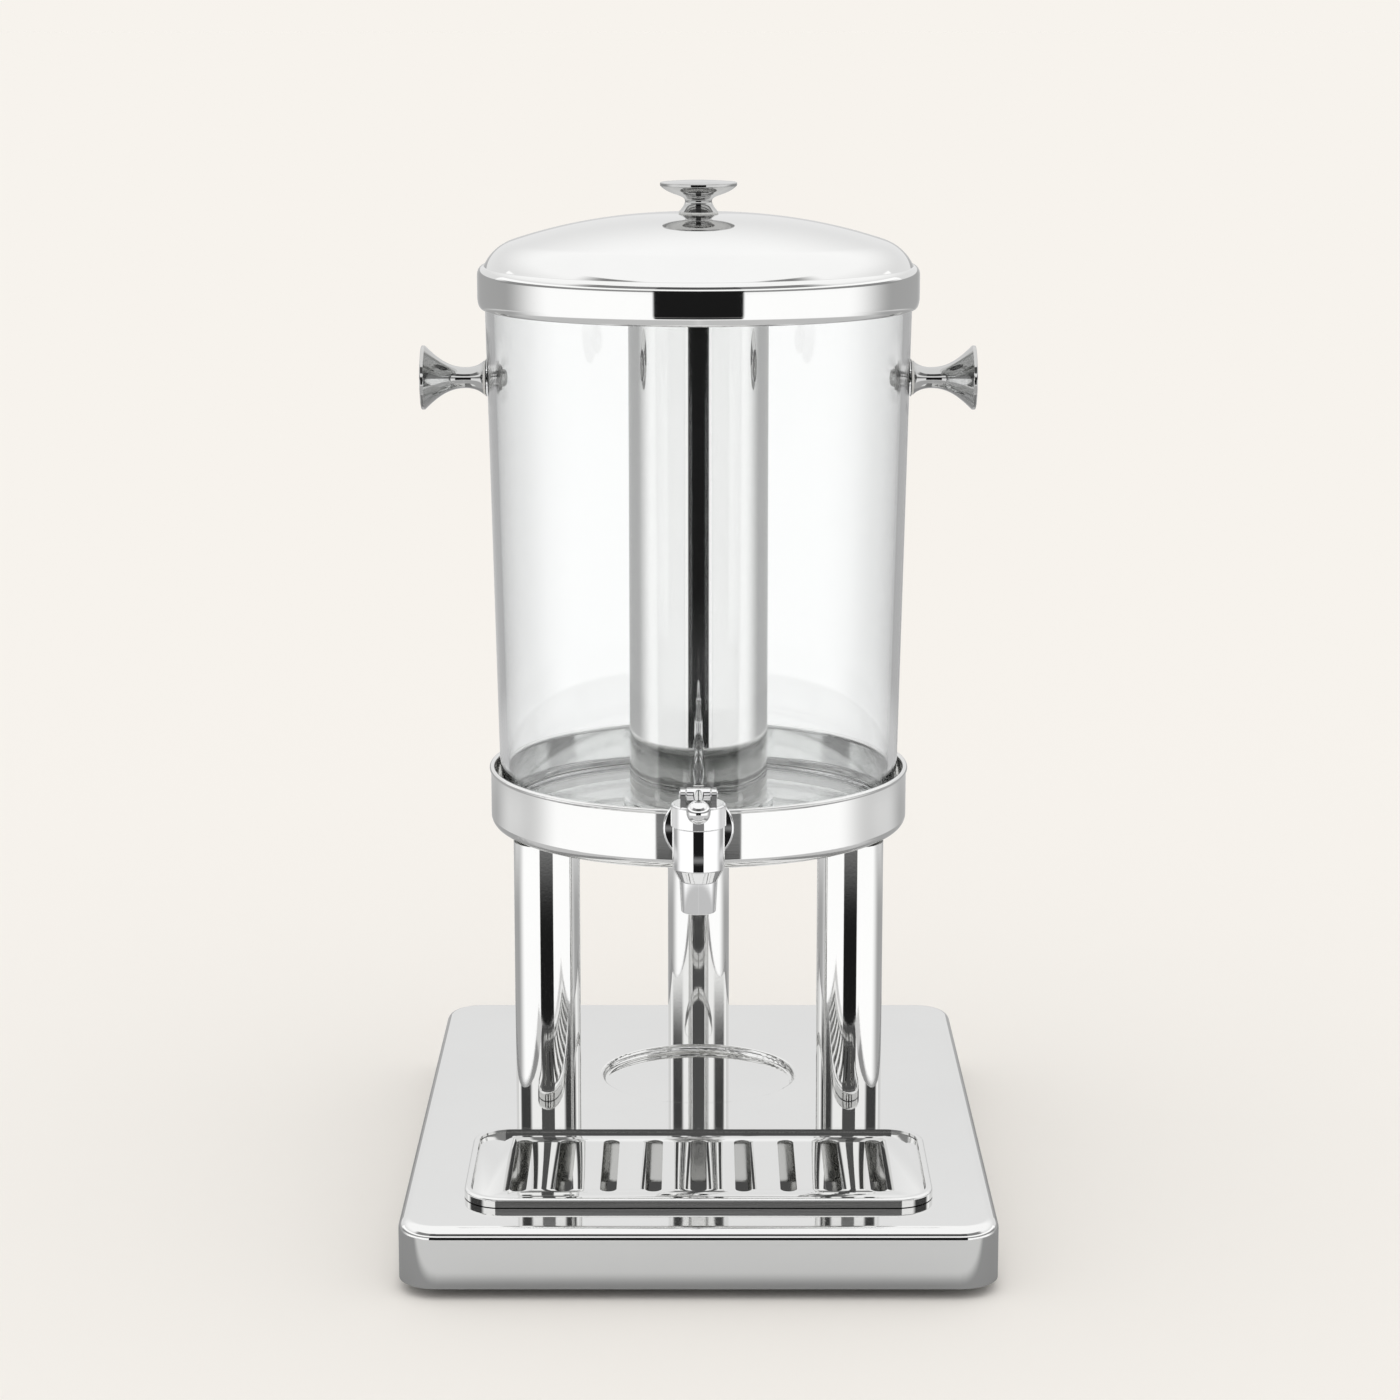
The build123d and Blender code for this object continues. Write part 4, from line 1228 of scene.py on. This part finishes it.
@dataclass
class Studio:
    """Pale floor, white sky, cards for the polished metal, and the camera.

    Attributes:
        cream: Colour of the floor and the sky behind.
        white: What shows through the clear tank.
        floor_in_metal_with_painted_shadow: The floor's brightness in polished metal: darker close to the base as a
            painted shadow, and brighter further off.
        painted_shadow_reach: Where the painted shadow gives way to the brighter floor, in metres from the base's
            front.
        floor_size: Side of the floor in metres.
        near_floor: Half-width and half-depth of the floor that polished metal shows, in metres.
        floor_soft: Width of the edge of that part, in metres.
        sky_glow: The sky's brightness in polished metal, low down and higher up.
        sky_rise: Where the one gives way to the other, in degrees above the horizon.
        camera_y: Place of the camera in front of the middle, in metres.
        camera_z: Height of the camera in metres.
        pitch: How far the camera looks down, in degrees.
        focal_pixels: Focal length in pixels of the square frame.
        frame_pixels: Side of the square frame in pixels.
        axis_pixels: Column of the frame that the camera points at.
        sensor: Width of the camera's sensor in millimetres.
        far: How far the camera sees, in metres.
        bounces: How often light may turn in clear plastic and between polished walls.
        cards: The cards, each laid over those before it.
    """

    cream: Colour = (0.930, 0.896, 0.847)
    white: Colour = (0.97, 0.97, 0.965)
    # Painted shadow: in polished metal, the floor shows darker just in front of the base
    floor_in_metal_with_painted_shadow: tuple[Colour, Colour] = ((0.36, 0.36, 0.36), (0.76, 0.76, 0.755))
    painted_shadow_reach: tuple[float, float] = (0.016, 0.036)
    floor_size: float = 80.0
    near_floor: tuple[float, float] = (0.24, 0.28)
    floor_soft: float = 0.02
    sky_glow: tuple[float, float] = (0.86, 1.14)
    sky_rise: tuple[float, float] = (14.0, 40.0)
    camera_y: float = -1.6707
    camera_z: float = 0.5771
    pitch: float = 11.5
    focal_pixels: float = 3532.9
    frame_pixels: float = 1400.0
    axis_pixels: float = 698.5
    sensor: float = 36.0
    far: float = 200.0
    bounces: int = 32
    cards: tuple[Card, ...] = (
        # White in front and to the sides
        Card(1.22, (-5.0, 130.0), (-90.0, 20.0)),
        # Grey behind, which the ends of round pieces show, with a lighter band for the cup
        Card(0.42, (101.0, 175.0), (-90.0, 4.0), turn_soft=38.0),
        Card(0.80, (101.0, 175.0), (-14.2, -12.5), turn_soft=38.0),
        Card(0.46, (140.0, 175.0), (-14.2, -12.5), turn_soft=26.0),
        # Greys below, at and above the horizon, for edges that are rounded
        Card(0.62, (-5.0, 120.0), (-60.0, -22.0), turn_soft=20.0, height_soft=3.0),
        Card(0.30, (-5.0, 122.0), (-2.5, 9.0), turn_soft=20.0),
        Card(0.25, (-30.0, 70.0), (21.0, 44.0), turn_soft=24.0, height_soft=2.0),
        Card(0.06, (62.0, 114.0), (16.4, 21.6), turn_soft=14.0, height_soft=1.0, deep=True),
        # Black in front, for the dark stripes, and its higher parts
        Card(0.012, (-5.0, 23.0), (-19.2, 6.0)),
        Card(0.10, (-5.0, 23.0), (2.0, 20.4), deep=True),
        Card(0.10, (-5.0, 23.0), (20.8, 44.0)),
        # White that narrows the ice tube's stripe, and grey beside the tap
        Card(1.30, (17.0, 23.0), (-13.0, -4.0), height_soft=0.3, behind_tank=True),
        Card(0.25, (-5.0, 23.0), (-14.2, -12.9)),
    )

    def background(self, graph: ShaderGraph) -> Term:
        """The floor's and sky's colour: cream, but whiter through clear plastic."""
        through = graph.add("ShaderNodeLightPath", output="Is Transmission Ray")
        return graph.blend(through, self.cream, self.white)

    @staticmethod
    def reflected(graph: ShaderGraph, times: int = 1) -> Term:
        """1 on light that polished metal has turned at least so many times, otherwise 0."""
        return graph.add("ShaderNodeLightPath", output="Glossy Depth") > times - 0.5

    @staticmethod
    def behind_tank(graph: ShaderGraph) -> Term:
        """1 on light that has passed through clear plastic, otherwise 0."""
        return graph.add("ShaderNodeLightPath", output="Transmission Depth") > 0.5

    def floor(self) -> None:
        """Lay the floor; polished metal shows only the part near the object, with a painted shadow that darkens it
        just in front of the base.
        """
        Modeller.clear_selection()
        bpy.ops.mesh.primitive_plane_add(size=self.floor_size)
        floor = Modeller.named("floor")
        material = bpy.data.materials.new("pale_floor")
        graph = ShaderGraph(material)
        _, x, y, _ = graph.place()
        near = graph.within(x, -self.near_floor[0], self.near_floor[0], self.floor_soft)
        near = near * graph.within(y, -self.near_floor[1], self.near_floor[1], self.floor_soft)
        # Painted shadow: the floor that polished metal shows darkens towards the base's front
        base_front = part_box("base_pan")[0].y
        share = graph.rise(base_front - y, *self.painted_shadow_reach)
        in_metal = graph.add("ShaderNodeBsdfDiffuse", None, {"Color": graph.blend(share, *self.floor_in_metal_with_painted_shadow)})
        seen = graph.add("ShaderNodeBsdfDiffuse", None, {"Color": self.background(graph)})
        clear = graph.add("ShaderNodeBsdfTransparent")
        turned = graph.add("ShaderNodeMixShader", None, {0: near, 1: clear, 2: in_metal})
        graph.surface(graph.add("ShaderNodeMixShader", None, {0: self.reflected(graph), 1: seen, 2: turned}))
        floor.data.materials.append(material)

    def shown_in_metal(self, graph: ShaderGraph) -> Term:
        """Brightness of the cards and the sky, by direction."""
        point = graph.add("ShaderNodeTexCoord", output="Generated")
        x, y, z = graph.split(point)
        side = (x * x) ** 0.5
        turn = graph.add("ShaderNodeMath", {"operation": "ARCTAN2"}, {0: side, 1: 0.0 - y}) * math.degrees(1.0)
        height = graph.add("ShaderNodeMath", {"operation": "ARCSINE"}, {0: z}) * math.degrees(1.0)
        low, high = self.sky_glow
        glow = low + (high - low) * graph.rise(height, *self.sky_rise)
        for card in self.cards:
            mask = graph.within(turn, *card.turn, card.turn_soft)
            mask = mask * graph.within(height, *card.height, card.height_soft)
            if card.deep:
                mask = mask * self.reflected(graph, times=2)
            if card.behind_tank:
                mask = mask * self.behind_tank(graph)
            glow = glow + (card.glow - glow) * mask
        return glow

    def sky(self) -> None:
        """White light from all round, cards for the metal, and a cream sky where it shows."""
        world = bpy.data.worlds.new("studio")
        bpy.context.scene.world = world
        graph = ShaderGraph(world)
        seen = graph.add("ShaderNodeLightPath", output="Is Camera Ray")
        seen = seen + graph.add("ShaderNodeLightPath", output="Is Transmission Ray")
        paper = (1.0, 1.0, 1.0, 1.0)
        light = graph.add("ShaderNodeBackground", None, {"Color": paper, "Strength": 1.0})
        shown = graph.add("ShaderNodeBackground", None, {"Color": self.background(graph), "Strength": 1.0})
        cards = graph.add("ShaderNodeBackground", None, {"Color": paper, "Strength": self.shown_in_metal(graph)})
        plain = graph.add("ShaderNodeMixShader", None, {0: seen, 1: light, 2: shown})
        mixed = graph.add("ShaderNodeMixShader", None, {0: self.reflected(graph), 1: plain, 2: cards})
        graph.surface(mixed, "ShaderNodeOutputWorld")

    def camera(self) -> None:
        """Set the camera at the photograph's viewing angle."""
        data = bpy.data.cameras.new("camera")
        data.sensor_width = self.sensor
        data.lens = self.focal_pixels / self.frame_pixels * self.sensor
        data.shift_x = (self.frame_pixels / 2 - self.axis_pixels) / self.frame_pixels
        data.clip_end = self.far
        camera = bpy.data.objects.new("camera", data)
        bpy.context.scene.collection.objects.link(camera)
        camera.location = (0.0, self.camera_y, self.camera_z)
        camera.rotation_euler = (math.radians(90.0 - self.pitch), 0.0, 0.0)
        bpy.context.scene.camera = camera

    def build(self) -> None:
        """Build the whole studio."""
        self.floor()
        self.sky()
        self.camera()
        scene = bpy.context.scene
        scene.view_settings.view_transform = "Standard"
        scene.cycles.max_bounces = self.bounces
        scene.cycles.glossy_bounces = self.bounces // 2
        scene.cycles.transmission_bounces = self.bounces


def main() -> None:
    """Model and dress the dispenser, and build the studio."""
    logging.basicConfig(level=logging.INFO, format="%(name)s: %(message)s")
    for assembly in (Stand(), DripTray(), Tank(), Tap(), IceTube(), Lid()):
        assembly.build()
    Studio().build()


if __name__ == "__main__":
    main()
